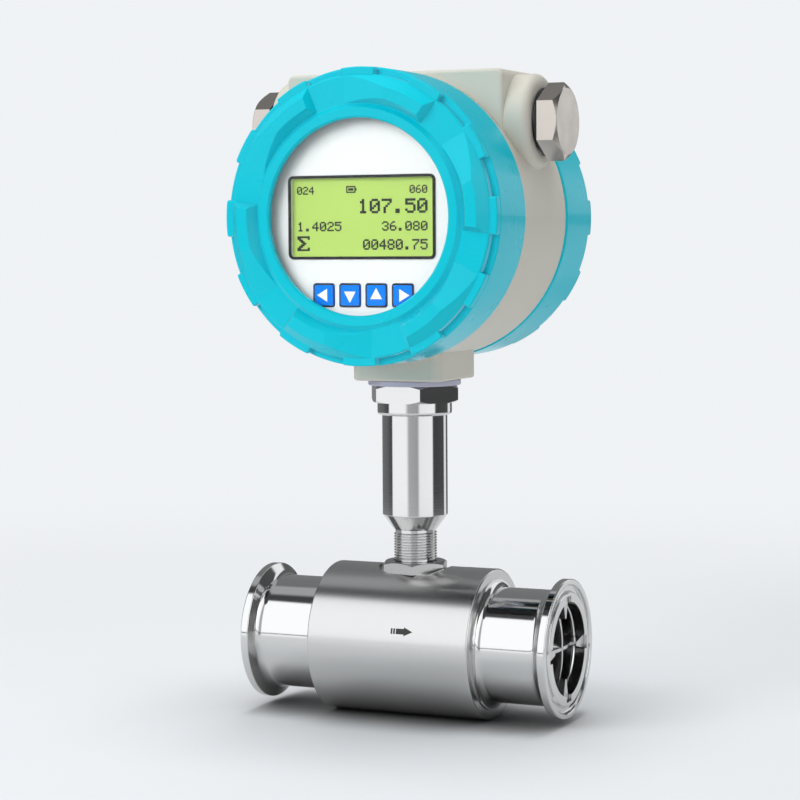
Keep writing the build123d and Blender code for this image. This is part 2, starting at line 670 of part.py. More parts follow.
def cover_grips():
    """Six lobes on the face and twelve lugs round the rim."""
    lobes = spread(lobe(), LOBE_COUNT)
    lug_base = COVER_SHOULDER - COVER_EDGE * 2
    outline = sector(LUG_INNER_R, COVER_R - LUG_INSET, -LUG_SPAN / 2, LUG_SPAN / 2)
    lug = extrude(outline, LUG_TOP - lug_base)
    lug = Pos(lug_base, 0, 0) * lug
    lug = fillet(lug.edges().filter_by(Axis.X), LUG_CORNER)
    lug = fillet(lug.faces().sort_by(Axis.X)[-1].edges(), LUG_EDGE)
    return lobes, spread(lug, LUG_COUNT)


def cover(inner_corners, face_corners):
    """Screw cover: a skirt that enters the head, a smooth band, and a face with grips."""
    blank = turned(
        (SKIRT_END, SKIRT_BORE_R),
        (SKIRT_END, SKIRT_R),
        (RING_HALF, SKIRT_R),
        (RING_HALF, COVER_R, COVER_EDGE),
        (COVER_SHOULDER, COVER_R, COVER_EDGE),
        (COVER_SHOULDER, COVER_RIM_R),
        (COVER_FACE, COVER_RIM_R, COVER_EDGE),
        *face_corners,
        *inner_corners,
    )
    lobes, lugs = cover_grips()
    return blank + lobes + lugs


def front_cover():
    face = (
        (COVER_FACE, BEZEL_R + BEZEL_SLOPE, COVER_EDGE),
        (BEZEL_TOP, BEZEL_R, COVER_EDGE / 2),
        (BEZEL_TOP, WINDOW_R + WINDOW_EDGE),
        (BEZEL_TOP - WINDOW_EDGE, WINDOW_R),
    )
    inner = (
        (GLASS_SEAT, WINDOW_R),
        (GLASS_SEAT, GLASS_POCKET_R),
        (LOCK_RING_BACK, GLASS_POCKET_R),
        (LOCK_RING_BACK, SKIRT_BORE_R, COVER_EDGE),
    )
    return cover(inner, face)


def rear_cover():
    face = (
        (COVER_FACE, BEZEL_R + BEZEL_SLOPE, COVER_EDGE),
        (BEZEL_TOP, BEZEL_R, COVER_EDGE / 2),
        (BEZEL_TOP, WINDOW_R + BEZEL_SLOPE, COVER_EDGE / 2),
        (COVER_FACE - BLIND_DISH_DEPTH, WINDOW_R, COVER_EDGE),
        (COVER_FACE - BLIND_DISH_DEPTH, 0),
    )
    inner = (
        (COVER_FACE - BLIND_WALL, 0),
        (COVER_FACE - BLIND_WALL, SKIRT_BORE_R, COVER_EDGE * 2),
    )
    return cover(inner, face)


def cover_seal():
    section = Pos(RING_HALF - SEAL_SEAT_DEPTH / 2, COVER_SEAL_R) * Circle(COVER_SEAL_WIRE_R)
    return revolve(section, Axis.X)


def glass_parts():
    """Window glass between its gasket and the ring that is screwed in behind it."""
    glass = turned(
        (GLASS_BACK, 0),
        (GLASS_BACK, GLASS_R, 0.3),
        (GLASS_FRONT, GLASS_R, 0.3),
        (GLASS_FRONT, 0),
    )
    gasket = tube(GLASS_FRONT, GLASS_SEAT, GLASS_R - GLASS_GASKET_WIDTH, GLASS_R)
    lock_ring = tube(LOCK_RING_BACK, GLASS_BACK, GLASS_R - LOCK_RING_WIDTH, GLASS_R)
    slot = slab(LOCK_RING_BACK, LOCK_RING_BACK + LOCK_RING_THICKNESS / 2, 4 * LOCK_RING_WIDTH, 2 * GLASS_R)
    return glass, gasket, lock_ring - spread(slot, 2)


def plug():
    """Blanking plug for a cable entry: a chamfered hexagon on a threaded shank."""
    corner_r = PLUG_FLATS / math.sqrt(3)
    plug_end = PLUG_FACE + PLUG_HEX_LENGTH
    trim = turned(
        (PLUG_FACE, 0),
        (PLUG_FACE, corner_r),
        (plug_end - PLUG_CHAMFER, corner_r),
        (plug_end, PLUG_FLATS / 2 - 0.3, 0.3),
        (plug_end, 0),
    )
    head = hexagon(PLUG_FACE, plug_end, PLUG_FLATS, PLUG_TURN) & trim
    shank_r = ENTRY_R - PLUG_THREAD_ROOM
    shank = turned(
        (PLUG_FACE - PLUG_SHANK_LENGTH, 0),
        (PLUG_FACE - PLUG_SHANK_LENGTH, shank_r, 1.0),
        (PLUG_FACE, shank_r),
        (PLUG_FACE, 0),
    )
    return head + shank


def plug_seal():
    section = Pos(PLUG_FACE - PLUG_SEAL_WIRE_R, PLUG_SEAL_R) * Circle(PLUG_SEAL_WIRE_R - FIT_CLEARANCE / 2)
    return revolve(section, Axis.X)


def key_place(number):
    return Pos(0, (number - 1.5) * KEY_PITCH, KEY_ROW_Z)


def key():
    """Push key: a square cap with a flange behind the dial and a stem over its switch."""
    cap = slab(KEY_FLANGE_TOP, DIAL_FRONT + KEY_PROUD, KEY_SIZE, KEY_SIZE, KEY_CORNER)
    flange_size = KEY_SIZE + 2 * KEY_FLANGE
    flange = slab(KEY_FLANGE_TOP - KEY_FLANGE_HEIGHT, KEY_FLANGE_TOP, flange_size, flange_size, KEY_FLANGE_CORNER)
    stem_end = DISPLAY_BOARD_FRONT + SWITCH_HEIGHT + KEY_TRAVEL + FIT_CLEARANCE
    return cap + flange + rod(stem_end, KEY_FLANGE_TOP, KEY_STEM_R)


def dial_plate():
    """White face of the display, with a window and four key holes."""
    plate = turned(
        (DIAL_BACK, 0),
        (DIAL_BACK, MODULE_R),
        (DIAL_FRONT, MODULE_R, DIAL_EDGE),
        (DIAL_FRONT, 0),
    )
    plate -= slab(DIAL_BACK, DIAL_FRONT, LCD_X, LCD_Z, LCD_CORNER, y=LCD_OFFSET_X)
    hole_size = KEY_SIZE + 2 * KEY_GAP
    hole = slab(DIAL_BACK, DIAL_FRONT, hole_size, hole_size, KEY_CORNER + KEY_GAP)
    return plate - [key_place(number) * hole for number in range(4)]


def lcd_parts():
    """Display cell behind the dial's window, and the thin frame round the window."""
    outer_x = LCD_X + 2 * LCD_FRAME
    outer_z = LCD_Z + 2 * LCD_FRAME
    cell_back = DIAL_BACK - LCD_THICKNESS
    cell = slab(cell_back, DIAL_BACK, outer_x, outer_z, y=LCD_OFFSET_X)
    front = DIAL_FRONT + LCD_FRAME_PROUD
    frame = slab(DIAL_FRONT, front, outer_x, outer_z, LCD_CORNER + LCD_FRAME, y=LCD_OFFSET_X)
    frame -= slab(DIAL_FRONT, front, LCD_X, LCD_Z, LCD_CORNER, y=LCD_OFFSET_X)
    return cell, frame


def display_board():
    """Round board on the case's ledge, with a switch under each key."""
    board_r = MODULE_R - MODULE_WALL - FIT_CLEARANCE
    board = rod(DISPLAY_BOARD_FRONT - BOARD_THICKNESS, DISPLAY_BOARD_FRONT, board_r)
    switch = slab(DISPLAY_BOARD_FRONT, DISPLAY_BOARD_FRONT + SWITCH_HEIGHT, SWITCH_SIZE, SWITCH_SIZE)
    return board + [key_place(number) * switch for number in range(4)]


def module_case():
    """Moulded cup that carries the display, open at the front."""
    ledge_top = DISPLAY_BOARD_FRONT - BOARD_THICKNESS
    inner_r = MODULE_R - MODULE_WALL
    case = turned(
        (MODULE_BACK, 0),
        (MODULE_BACK, MODULE_R, 1.5),
        (DIAL_BACK, MODULE_R),
        (DIAL_BACK, inner_r),
        (ledge_top, inner_r),
        (ledge_top, inner_r - MODULE_LEDGE),
        (ledge_top - MODULE_WALL, inner_r - MODULE_LEDGE),
        (ledge_top - MODULE_WALL, inner_r),
        (MODULE_BACK + MODULE_WALL, inner_r, 1.0),
        (MODULE_BACK + MODULE_WALL, 0),
    )
    hole = Pos(0, PILLAR_CIRCLE_R, 0) * rod(MODULE_BACK, MODULE_BACK + MODULE_WALL, SCREW_R + FIT_CLEARANCE)
    lead_hole = rod(MODULE_BACK, MODULE_BACK + MODULE_WALL, LEAD_R * 2)
    return case - spread(hole, PILLAR_COUNT, 90) - lead_hole


def module_fixings():
    """Standoffs between the casting's partition and the case, and the screws through the case."""
    pillar = hexagon(PARTITION_FRONT, MODULE_BACK, PILLAR_FLATS)
    pillar -= rod(PARTITION_FRONT + PILLAR_SOLID, MODULE_BACK, SCREW_R)
    screw_seat = MODULE_BACK + MODULE_WALL
    screw = rod(MODULE_BACK - MODULE_SCREW_LENGTH, screw_seat, SCREW_R - FIT_CLEARANCE)
    screw += rod(screw_seat, screw_seat + SCREW_HEAD_HEIGHT, SCREW_HEAD_R)
    lift = Pos(0, PILLAR_CIRCLE_R, 0)
    return spread(lift * pillar, PILLAR_COUNT, 90), spread(lift * screw, PILLAR_COUNT, 90)


def terminal_parts():
    """Round board on three posts, with a terminal strip and its screws, and the cell in its clip."""
    floor = -PARTITION_BACK
    board_back = floor + TERMINAL_BOARD_GAP
    board_front = board_back + BOARD_THICKNESS
    board = rod(board_back, board_front, TERMINAL_BOARD_R)
    lift = Pos(0, TERMINAL_BOARD_R - POST_INSET, 0)
    post = lift * (rod(floor, board_back, POST_R) - rod(board_back - BOARD_SCREW_LENGTH, board_back, SCREW_R))
    post_hole = lift * rod(board_back, board_front, SCREW_R + FIT_CLEARANCE)
    board -= spread(post_hole, PILLAR_COUNT, 90)
    header = slab(board_front, board_front + HEADER_HEIGHT, HEADER_WIDTH, HEADER_HEIGHT)
    board += Pos(0, 0, HEADER_HEIGHT / 2 - HEADER_DROP) * header
    screw = rod(board_back - BOARD_SCREW_LENGTH, board_front, SCREW_R - FIT_CLEARANCE)
    screw += rod(board_front, board_front + SCREW_HEAD_HEIGHT, SCREW_HEAD_R)
    screw = lift * screw

    block_front = board_front + TERMINAL_BLOCK_Y
    block = slab(board_front, block_front, TERMINAL_BLOCK_X, TERMINAL_BLOCK_Z, z=TERMINAL_BLOCK_RISE)
    first = -(TERMINAL_COUNT - 1) / 2 * TERMINAL_PITCH
    places = [first + number * TERMINAL_PITCH for number in range(TERMINAL_COUNT)]
    well_floor = block_front - TERMINAL_WELL_DEPTH
    well = rod(well_floor, block_front, TERMINAL_SCREW_R + FIT_CLEARANCE)
    wire_gate = slab(board_front + 2, board_front + 2 + WIRE_GATE_HEIGHT, WIRE_GATE_WIDTH, 2 * WIRE_GATE_DEPTH)
    gate_z = TERMINAL_BLOCK_RISE + TERMINAL_BLOCK_Z / 2
    screw_z = TERMINAL_BLOCK_RISE - TERMINAL_SCREW_DROP
    block -= [Pos(0, y, screw_z) * well for y in places] + [Pos(0, y, gate_z) * wire_gate for y in places]
    screw_top = block_front - TERMINAL_SCREW_SINK
    slotted = rod(well_floor, screw_top, TERMINAL_SCREW_R)
    slot_floor = screw_top - TERMINAL_SLOT_DEPTH
    slotted -= slab(slot_floor, screw_top, TERMINAL_SLOT_WIDTH, 3 * TERMINAL_SCREW_R)
    screws = [Pos(0, y, screw_z) * slotted for y in places]

    cell_y = board_front + CLIP_WALL + CELL_R + CLIP_CLEARANCE
    cell = Rot(0, 0, 90) * turned(
        (-CELL_LENGTH / 2, 0),
        (-CELL_LENGTH / 2, CELL_R, 0.6),
        (CELL_LENGTH / 2, CELL_R, 0.6),
        (CELL_LENGTH / 2, CELL_NUB_R),
        (CELL_LENGTH / 2 + CELL_NUB, CELL_NUB_R),
        (CELL_LENGTH / 2 + CELL_NUB, 0),
    )
    cell = Pos(cell_y, 0, -CELL_DROP) * cell
    clip_x = CELL_LENGTH + 2 * (CELL_NUB + CLIP_WALL)
    clip_z = 2 * (CELL_R + CLIP_CLEARANCE + CLIP_WALL)
    clip = slab(board_front, cell_y + CELL_R / 3, clip_x, clip_z, z=-CELL_DROP)
    hollow = slab(board_front + CLIP_WALL, cell_y + CELL_R, clip_x - 2 * CLIP_WALL, clip_z - 2 * CLIP_WALL)
    clip -= Pos(0, 0, -CELL_DROP) * hollow
    return board, spread(post, PILLAR_COUNT, 90), spread(screw, PILLAR_COUNT, 90), block, screws, cell, clip


def sensor_lead():
    """Lead from the preamplifier, up the adapter and over to the terminal board's edge."""
    start_z = NECK_TIP_Z + NECK_FLOOR + CORE_LENGTH + MAGNET_LENGTH + PREAMP_ABOVE_MAGNET + PREAMP_HEIGHT
    board_edge_z = HEAD_HEIGHT - TERMINAL_BOARD_R
    lead_y = TERMINAL_BOARD_GAP - PARTITION_BACK + BOARD_THICKNESS + LEAD_R + LEAD_LIFT
    path = FilletPolyline(
        (STEM_X, 0, start_z),
        (STEM_X, 0, board_edge_z - LEAD_BEND_START),
        (STEM_X, lead_y, board_edge_z - LEAD_BEND_END),
        (STEM_X, lead_y, HEAD_HEIGHT - HEADER_DROP),
        radius=(LEAD_BEND_R, LEAD_BEND_R),
    )
    return sweep(Plane((STEM_X, 0, start_z)) * Circle(LEAD_R), path=path)


def save(name, place, pieces):
    """Write one sub-part, of one solid or of several that stay separate."""
    if not isinstance(pieces, (list, tuple)):
        pieces = [pieces]
    placed = [place * piece for piece in pieces]
    solids = [solid for piece in placed for solid in piece.solids()]
    shape = solids[0] if len(solids) == 1 else Compound(children=solids)
    shape.label = name
    export_step(shape, os.path.join("parts", name + ".step"))


def main():
    os.makedirs("parts", exist_ok=True)
    save("flow_body", FLOW_WAY, flow_body())
    for end, way in (("inlet", FLOW_WAY), ("outlet", AGAINST_FLOW)):
        save(end + "_ferrule", way, ferrule())
        save(end + "_guide", way, guide())
        save(end + "_snap_ring", way, snap_ring())
        save(end + "_bush", way, bush())
    save("rotor", FLOW_WAY, rotor())
    save("rotor_shaft", FLOW_WAY, rotor_shaft())

    save("sensor_tube", UP_STEM, sensor_tube())
    save("stem_adapter", UP_STEM, stem_adapter())
    save("stem_washer", UP_STEM, stem_washer())
    save("lock_nut", UP_STEM, lock_nut())
    core, coil, magnet, preamp = pickup_parts()
    save("pickup_core", UP_STEM, core)
    save("pickup_coil", UP_STEM, coil)
    save("pickup_magnet", UP_STEM, magnet)
    save("preamp_board", UP_STEM, preamp)
    save("sensor_lead", FLOW_WAY, sensor_lead())

    save("housing", FLOW_WAY, housing())
    save("front_cover", FRONT, front_cover())
    save("rear_cover", REAR, rear_cover())
    glass, gasket, lock_ring = glass_parts()
    save("window_glass", FRONT, glass)
    save("window_gasket", FRONT, gasket)
    save("glass_lock_ring", FRONT, lock_ring)
    for side, way in (("front", FRONT), ("rear", REAR)):
        save(side + "_cover_seal", way, cover_seal())
    for side, way in (("left", LEFT), ("right", RIGHT)):
        save(side + "_plug", way, plug())
        save(side + "_plug_seal", way, plug_seal())

    save("dial_plate", FRONT, dial_plate())
    cell, frame = lcd_parts()
    save("lcd_panel", FRONT, cell)
    save("lcd_frame", FRONT, frame)
    for number, name in enumerate(("left", "down", "up", "right")):
        save("key_" + name, FRONT, key_place(number) * key())
    save("display_board", FRONT, display_board())
    save("module_case", FRONT, module_case())
    pillars, screws = module_fixings()
    save("module_pillars", FRONT, pillars)
    save("module_screws", FRONT, screws)

    board, posts, board_screws, block, terminal_screws, battery, clip = terminal_parts()
    save("terminal_board", REAR, board)
    save("board_posts", REAR, posts)
    save("board_screws", REAR, board_screws)
    save("terminal_block", REAR, block)
    save("terminal_screws", REAR, terminal_screws)
    save("battery_cell", REAR, battery)
    save("battery_clip", REAR, clip)


main()
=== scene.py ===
# %% [markdown]
# # Turbine flow meter
# A stainless pipe piece with clamp ferrules, a screwed stem and a round display head.
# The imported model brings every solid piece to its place, in metres, with +X along the flow,
# +Z up through the head and -Y on the side of the display. This script gives each piece its
# finish and adds what is too fine for the solids: the threads, the figures on the display, the
# rims and arrows of the keys and the flow arrow.

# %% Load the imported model
import math
import re

import bmesh
import bpy
from mathutils import Matrix, Vector


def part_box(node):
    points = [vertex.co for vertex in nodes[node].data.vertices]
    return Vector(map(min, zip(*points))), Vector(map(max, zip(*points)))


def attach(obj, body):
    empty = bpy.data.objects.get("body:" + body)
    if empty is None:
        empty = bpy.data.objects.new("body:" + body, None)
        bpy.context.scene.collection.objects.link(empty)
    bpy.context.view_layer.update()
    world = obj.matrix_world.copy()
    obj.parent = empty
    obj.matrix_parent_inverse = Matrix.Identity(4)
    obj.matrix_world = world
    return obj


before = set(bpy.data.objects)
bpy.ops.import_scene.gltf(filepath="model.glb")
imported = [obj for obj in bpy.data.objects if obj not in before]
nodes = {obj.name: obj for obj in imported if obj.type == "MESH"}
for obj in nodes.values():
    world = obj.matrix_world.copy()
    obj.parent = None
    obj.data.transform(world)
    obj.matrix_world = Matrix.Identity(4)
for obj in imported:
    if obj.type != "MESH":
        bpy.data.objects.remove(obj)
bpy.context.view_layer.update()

MM = 0.001
print("nodes", len(nodes))

# %% [markdown]
# ## Where things are
# Every place is read from the frame, so that a piece stays on its carrier when a size changes.
# The stem's axis is halfway along the pipe, and the head's centre is the middle of its covers.

# %% Main places
body_low, body_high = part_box("flow_body")
cover_low, cover_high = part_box("front_cover")
stem_axis = Vector(((body_low.x + body_high.x) / 2, 0, 0))
head_centre = Vector((stem_axis.x, 0, (cover_low.z + cover_high.z) / 2))
pipe_radius = body_high.z
floor_height = body_low.z
print("stem x", round(stem_axis.x, 4), "head z", round(head_centre.z, 4))
print("floor z", round(floor_height, 4))

# %% [markdown]
# ## Helpers for new pieces
# A new piece is one bmesh, made a mesh once it is finished. Its place is in its vertices and
# its object stays at the origin, so the pattern of its material can't slide when a joint turns.

# %% Piece helper
def add_piece(name, mesh_bm, body, material, smooth_angle=35):
    """Turn a bmesh into a finished piece that rides on a body."""
    bmesh.ops.recalc_face_normals(mesh_bm, faces=mesh_bm.faces)
    mesh = bpy.data.meshes.new(name)
    mesh_bm.to_mesh(mesh)
    mesh_bm.free()
    piece = bpy.data.objects.new(name, mesh)
    bpy.context.scene.collection.objects.link(piece)
    mesh.materials.append(material)
    mesh.shade_smooth()
    mesh.set_sharp_from_angle(angle=math.radians(smooth_angle))
    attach(piece, body)
    print("piece", name, "faces", len(mesh.polygons))
    return piece


# %% Box helper
def add_box(mesh_bm, centre, size):
    """A plain box added to a bmesh."""
    corners = bmesh.ops.create_cube(mesh_bm, size=1.0)["verts"]
    bmesh.ops.scale(mesh_bm, vec=size, verts=corners)
    bmesh.ops.translate(mesh_bm, vec=centre, verts=corners)


# %% [markdown]
# ## Shared surface effects
# Three effects are used by several finishes, so each is a node group: a soft unevenness such as
# sprayed paint has, the fine rings that a lathe tool leaves, and the faint smudges of handling.
# The groups only put out normals and masks. The shader stays in each material.

# %% Node helpers
def new_group(name, inputs, outputs):
    """A shader node group with its sockets, its entry and its result node."""
    group = bpy.data.node_groups.new(name, "ShaderNodeTree")
    for label, kind, value in inputs:
        socket = group.interface.new_socket(label, in_out="INPUT", socket_type=kind)
        if value is not None:
            socket.default_value = value
    for label, kind in outputs:
        group.interface.new_socket(label, in_out="OUTPUT", socket_type=kind)
    return group, group.nodes.new("NodeGroupInput"), group.nodes.new("NodeGroupOutput")


def add_node(tree, kind, **settings):
    """A node of a kind, with its own settings such as an operation."""
    node = tree.nodes.new(kind)
    for key, value in settings.items():
        setattr(node, key, value)
    return node


def add_math(tree, operation, first, second=None, third=None):
    """A Math node whose inputs are sockets or plain numbers."""
    node = add_node(tree, "ShaderNodeMath", operation=operation)
    for number, value in enumerate((first, second, third)):
        if value is None:
            continue
        if isinstance(value, (int, float)):
            node.inputs[number].default_value = value
        else:
            tree.links.new(value, node.inputs[number])
    return node.outputs[0]


# %% Sprayed unevenness
PEEL_DEPTH = 0.1 * MM


def make_sprayed_group():
    """Orange peel of sprayed paint: a fine bump, as a normal."""
    group, entry, result = new_group(
        "Sprayed unevenness",
        [("Scale", "NodeSocketFloat", 900.0), ("Strength", "NodeSocketFloat", 0.1)],
        [("Normal", "NodeSocketVector")],
    )
    place = add_node(group, "ShaderNodeTexCoord")
    grain = add_node(group, "ShaderNodeTexNoise")
    grain.inputs["Detail"].default_value = 1.0
    bump = add_node(group, "ShaderNodeBump")
    bump.inputs["Distance"].default_value = PEEL_DEPTH
    group.links.new(place.outputs["Object"], grain.inputs["Vector"])
    group.links.new(entry.outputs["Scale"], grain.inputs["Scale"])
    group.links.new(grain.outputs["Fac"], bump.inputs["Height"])
    group.links.new(entry.outputs["Strength"], bump.inputs["Strength"])
    group.links.new(bump.outputs["Normal"], result.inputs["Normal"])
    return group


sprayed_group = make_sprayed_group()
print("group", sprayed_group.name)


# %% Turning rings
RING_DEPTH = 0.03 * MM


def make_turning_group():
    """Fine rings round a turned piece. Along is the distance on its axis."""
    group, entry, result = new_group(
        "Turning rings",
        [
            ("Along", "NodeSocketFloat", 0.0),
            ("Pitch", "NodeSocketFloat", 0.0003),
            ("Strength", "NodeSocketFloat", 0.1),
            ("Rough low", "NodeSocketFloat", 0.12),
            ("Rough high", "NodeSocketFloat", 0.25),
        ],
        [("Normal", "NodeSocketVector"), ("Roughness", "NodeSocketFloat")],
    )
    steps = add_math(group, "DIVIDE", entry.outputs["Along"], entry.outputs["Pitch"])
    rings = add_node(group, "ShaderNodeTexNoise", noise_dimensions="1D")
    rings.inputs["Scale"].default_value = 1.0
    rings.inputs["Detail"].default_value = 4.0
    group.links.new(steps, rings.inputs["W"])
    bump = add_node(group, "ShaderNodeBump")
    bump.inputs["Distance"].default_value = RING_DEPTH
    group.links.new(rings.outputs["Fac"], bump.inputs["Height"])
    group.links.new(entry.outputs["Strength"], bump.inputs["Strength"])
    group.links.new(bump.outputs["Normal"], result.inputs["Normal"])
    spread = add_node(group, "ShaderNodeMapRange")
    group.links.new(rings.outputs["Fac"], spread.inputs["Value"])
    spread.inputs["From Min"].default_value = 0.3
    spread.inputs["From Max"].default_value = 0.7
    group.links.new(entry.outputs["Rough low"], spread.inputs["To Min"])
    group.links.new(entry.outputs["Rough high"], spread.inputs["To Max"])
    group.links.new(spread.outputs["Result"], result.inputs["Roughness"])
    return group


turning_group = make_turning_group()
print("group", turning_group.name)


# %% Handling smudges
def make_smudge_group():
    """Large soft patches, between a low and a high value."""
    group, entry, result = new_group(
        "Handling smudges",
        [
            ("Scale", "NodeSocketFloat", 40.0),
            ("Low", "NodeSocketFloat", 0.2),
            ("High", "NodeSocketFloat", 0.3),
        ],
        [("Value", "NodeSocketFloat")],
    )
    place = add_node(group, "ShaderNodeTexCoord")
    patches = add_node(group, "ShaderNodeTexNoise")
    patches.inputs["Detail"].default_value = 2.0
    group.links.new(place.outputs["Object"], patches.inputs["Vector"])
    group.links.new(entry.outputs["Scale"], patches.inputs["Scale"])
    spread = add_node(group, "ShaderNodeMapRange", interpolation_type="SMOOTHSTEP")
    spread.inputs["From Min"].default_value = 0.15
    spread.inputs["From Max"].default_value = 0.85
    group.links.new(patches.outputs["Fac"], spread.inputs["Value"])
    group.links.new(entry.outputs["Low"], spread.inputs["To Min"])
    group.links.new(entry.outputs["High"], spread.inputs["To Max"])
    group.links.new(spread.outputs["Result"], result.inputs["Value"])
    return group


smudge_group = make_smudge_group()
print("group", smudge_group.name)

# %% [markdown]
# ## Finishes
# Every material is a Principled shader with its plain values set on its own sockets. Only what
# changes over the surface comes from a group. Steel is a metal with a fine lathe grain, the
# covers and the casting are sprayed paint under a clear coat, and plastics are not metallic.

# %% Material helpers
def new_material(name, colour, roughness, metallic=0.0, **sockets):
    """A material, its node tree and its shader, with plain values on the shader's sockets."""
    material = bpy.data.materials.new(name)
    material.use_nodes = True
    shader = material.node_tree.nodes["Principled BSDF"]
    shader.inputs["Base Color"].default_value = (*colour, 1.0)
    shader.inputs["Roughness"].default_value = roughness
    shader.inputs["Metallic"].default_value = metallic
    for label, value in sockets.items():
        shader.inputs[label.replace("_", " ")].default_value = value
    material.diffuse_color = (*colour, 1.0)
    return material, material.node_tree, shader


def place_group(tree, group, **values):
    """A node group in a tree, with plain values on its inputs."""
    node = add_node(tree, "ShaderNodeGroup", node_tree=group)
    for label, value in values.items():
        node.inputs[label.replace("_", " ")].default_value = value
    return node


def smudged(tree, shader, scale, low, high):
    """Let a shader's roughness vary softly between a low and a high value."""
    patches = place_group(tree, smudge_group, Scale=scale, Low=low, High=high)
    tree.links.new(patches.outputs["Value"], shader.inputs["Roughness"])


def sprayed(tree, shader, scale, strength):
    """Give a shader the unevenness of sprayed paint or of a mould."""
    peel = place_group(tree, sprayed_group, Scale=scale, Strength=strength)
    tree.links.new(peel.outputs["Normal"], shader.inputs["Normal"])


# %% Turned and polished steel
def turned_steel(name, colour, axis, pitch, strength, low, high):
    """Stainless steel with rings about one axis, X for the pipe and Z for the stem."""
    material, tree, shader = new_material(name, colour, low, 1.0)
    place = add_node(tree, "ShaderNodeTexCoord")
    split = add_node(tree, "ShaderNodeSeparateXYZ")
    rings = place_group(
        tree, turning_group, Pitch=pitch, Strength=strength, Rough_low=low, Rough_high=high,
    )
    tree.links.new(place.outputs["Object"], split.inputs["Vector"])
    tree.links.new(split.outputs[axis], rings.inputs["Along"])
    tree.links.new(rings.outputs["Normal"], shader.inputs["Normal"])
    tree.links.new(rings.outputs["Roughness"], shader.inputs["Roughness"])
    return material


bright = (0.67, 0.665, 0.66)
satin = (0.60, 0.595, 0.59)
dull = (0.46, 0.455, 0.45)
pipe_steel = turned_steel("Pipe steel", satin, "X", 0.4 * MM, 0.16, 0.19, 0.26)
ferrule_steel = turned_steel("Ferrule steel", bright, "X", 0.5 * MM, 0.08, 0.05, 0.10)
stem_steel = turned_steel("Stem steel", bright, "Z", 0.4 * MM, 0.14, 0.06, 0.12)
nut_steel = turned_steel("Nut steel", dull, "Z", 0.6 * MM, 0.10, 0.26, 0.34)
print("steels", pipe_steel.name, ferrule_steel.name, stem_steel.name, nut_steel.name)


# %% Cover paint and casting paint
COAT_ROUGHNESS = 0.06
PAINT_SMUDGES = 60.0


def paint(name, colour, low, high, peel_scale, peel_strength, coat, index):
    """Sprayed paint under a clear coat. A low index keeps its colour deep at a slant."""
    material, tree, shader = new_material(
        name, colour, low, Coat_Weight=coat, Coat_Roughness=COAT_ROUGHNESS, IOR=index,
    )
    smudged(tree, shader, PAINT_SMUDGES, low, high)
    sprayed(tree, shader, peel_scale, peel_strength)
    return material


turquoise = (0.0, 0.60, 0.735)
stone = (0.66, 0.635, 0.555)
cover_paint = paint("Turquoise paint", turquoise, 0.26, 0.32, 600.0, 0.05, 0.18, 1.25)
casting_paint = paint("Stone paint", stone, 0.38, 0.46, 1300.0, 0.10, 0.05, 1.35)
print("paints", cover_paint.name, casting_paint.name)


# %% Plated plugs, screws and brass
METAL_SMUDGES = 120.0


def plated(name, colour, low, high):
    """A plain metal with faint smudges."""
    material, tree, shader = new_material(name, colour, low, 1.0)
    smudged(tree, shader, METAL_SMUDGES, low, high)
    return material


plug_plate = plated("Nickel plate", (0.60, 0.55, 0.50), 0.20, 0.27)
zinc_plate = plated("Zinc plate", (0.62, 0.62, 0.60), 0.22, 0.34)
turned_brass = plated("Turned brass", (0.72, 0.52, 0.22), 0.20, 0.32)
soft_iron = plated("Soft iron", (0.32, 0.31, 0.30), 0.40, 0.55)
magnet_plate = plated("Magnet plate", (0.52, 0.52, 0.53), 0.25, 0.35)
carbide = plated("Ground carbide", (0.25, 0.25, 0.27), 0.22, 0.30)
copper_wire = plated("Enamelled copper", (0.55, 0.22, 0.08), 0.30, 0.45)
print("plated", plug_plate.name, zinc_plate.name, turned_brass.name)


# %% Plastics and rubber
MOULD_SMUDGES = 90.0
MOULD_GRAIN = 1200.0


def moulded(name, colour, low, high, peel=0.05, gloss=0.5):
    """A moulded plastic or rubber with the fine grain of its mould."""
    material, tree, shader = new_material(name, colour, low, Specular_IOR_Level=gloss)
    smudged(tree, shader, MOULD_SMUDGES, low, high)
    sprayed(tree, shader, MOULD_GRAIN, peel)
    return material


seal_rubber = moulded("Seal rubber", (0.012, 0.012, 0.012), 0.20, 0.28)
washer_nylon = moulded("Nylon washer", (0.50, 0.50, 0.62), 0.35, 0.45)
gloss_black = moulded("Gloss black", (0.010, 0.010, 0.011), 0.12, 0.20, 0.02)
case_black = moulded("Matt black", (0.025, 0.025, 0.027), 0.45, 0.60, 0.15)
key_blue = moulded("Key blue", (0.001, 0.20, 0.84), 0.22, 0.28, 0.02, 0.15)
terminal_green = moulded("Terminal green", (0.03, 0.28, 0.10), 0.40, 0.50)
cell_wrap = moulded("Cell wrap", (0.05, 0.12, 0.35), 0.22, 0.32)
lead_grey = moulded("Lead grey", (0.18, 0.19, 0.21), 0.45, 0.60)
print("plastics", seal_rubber.name, gloss_black.name, key_blue.name)


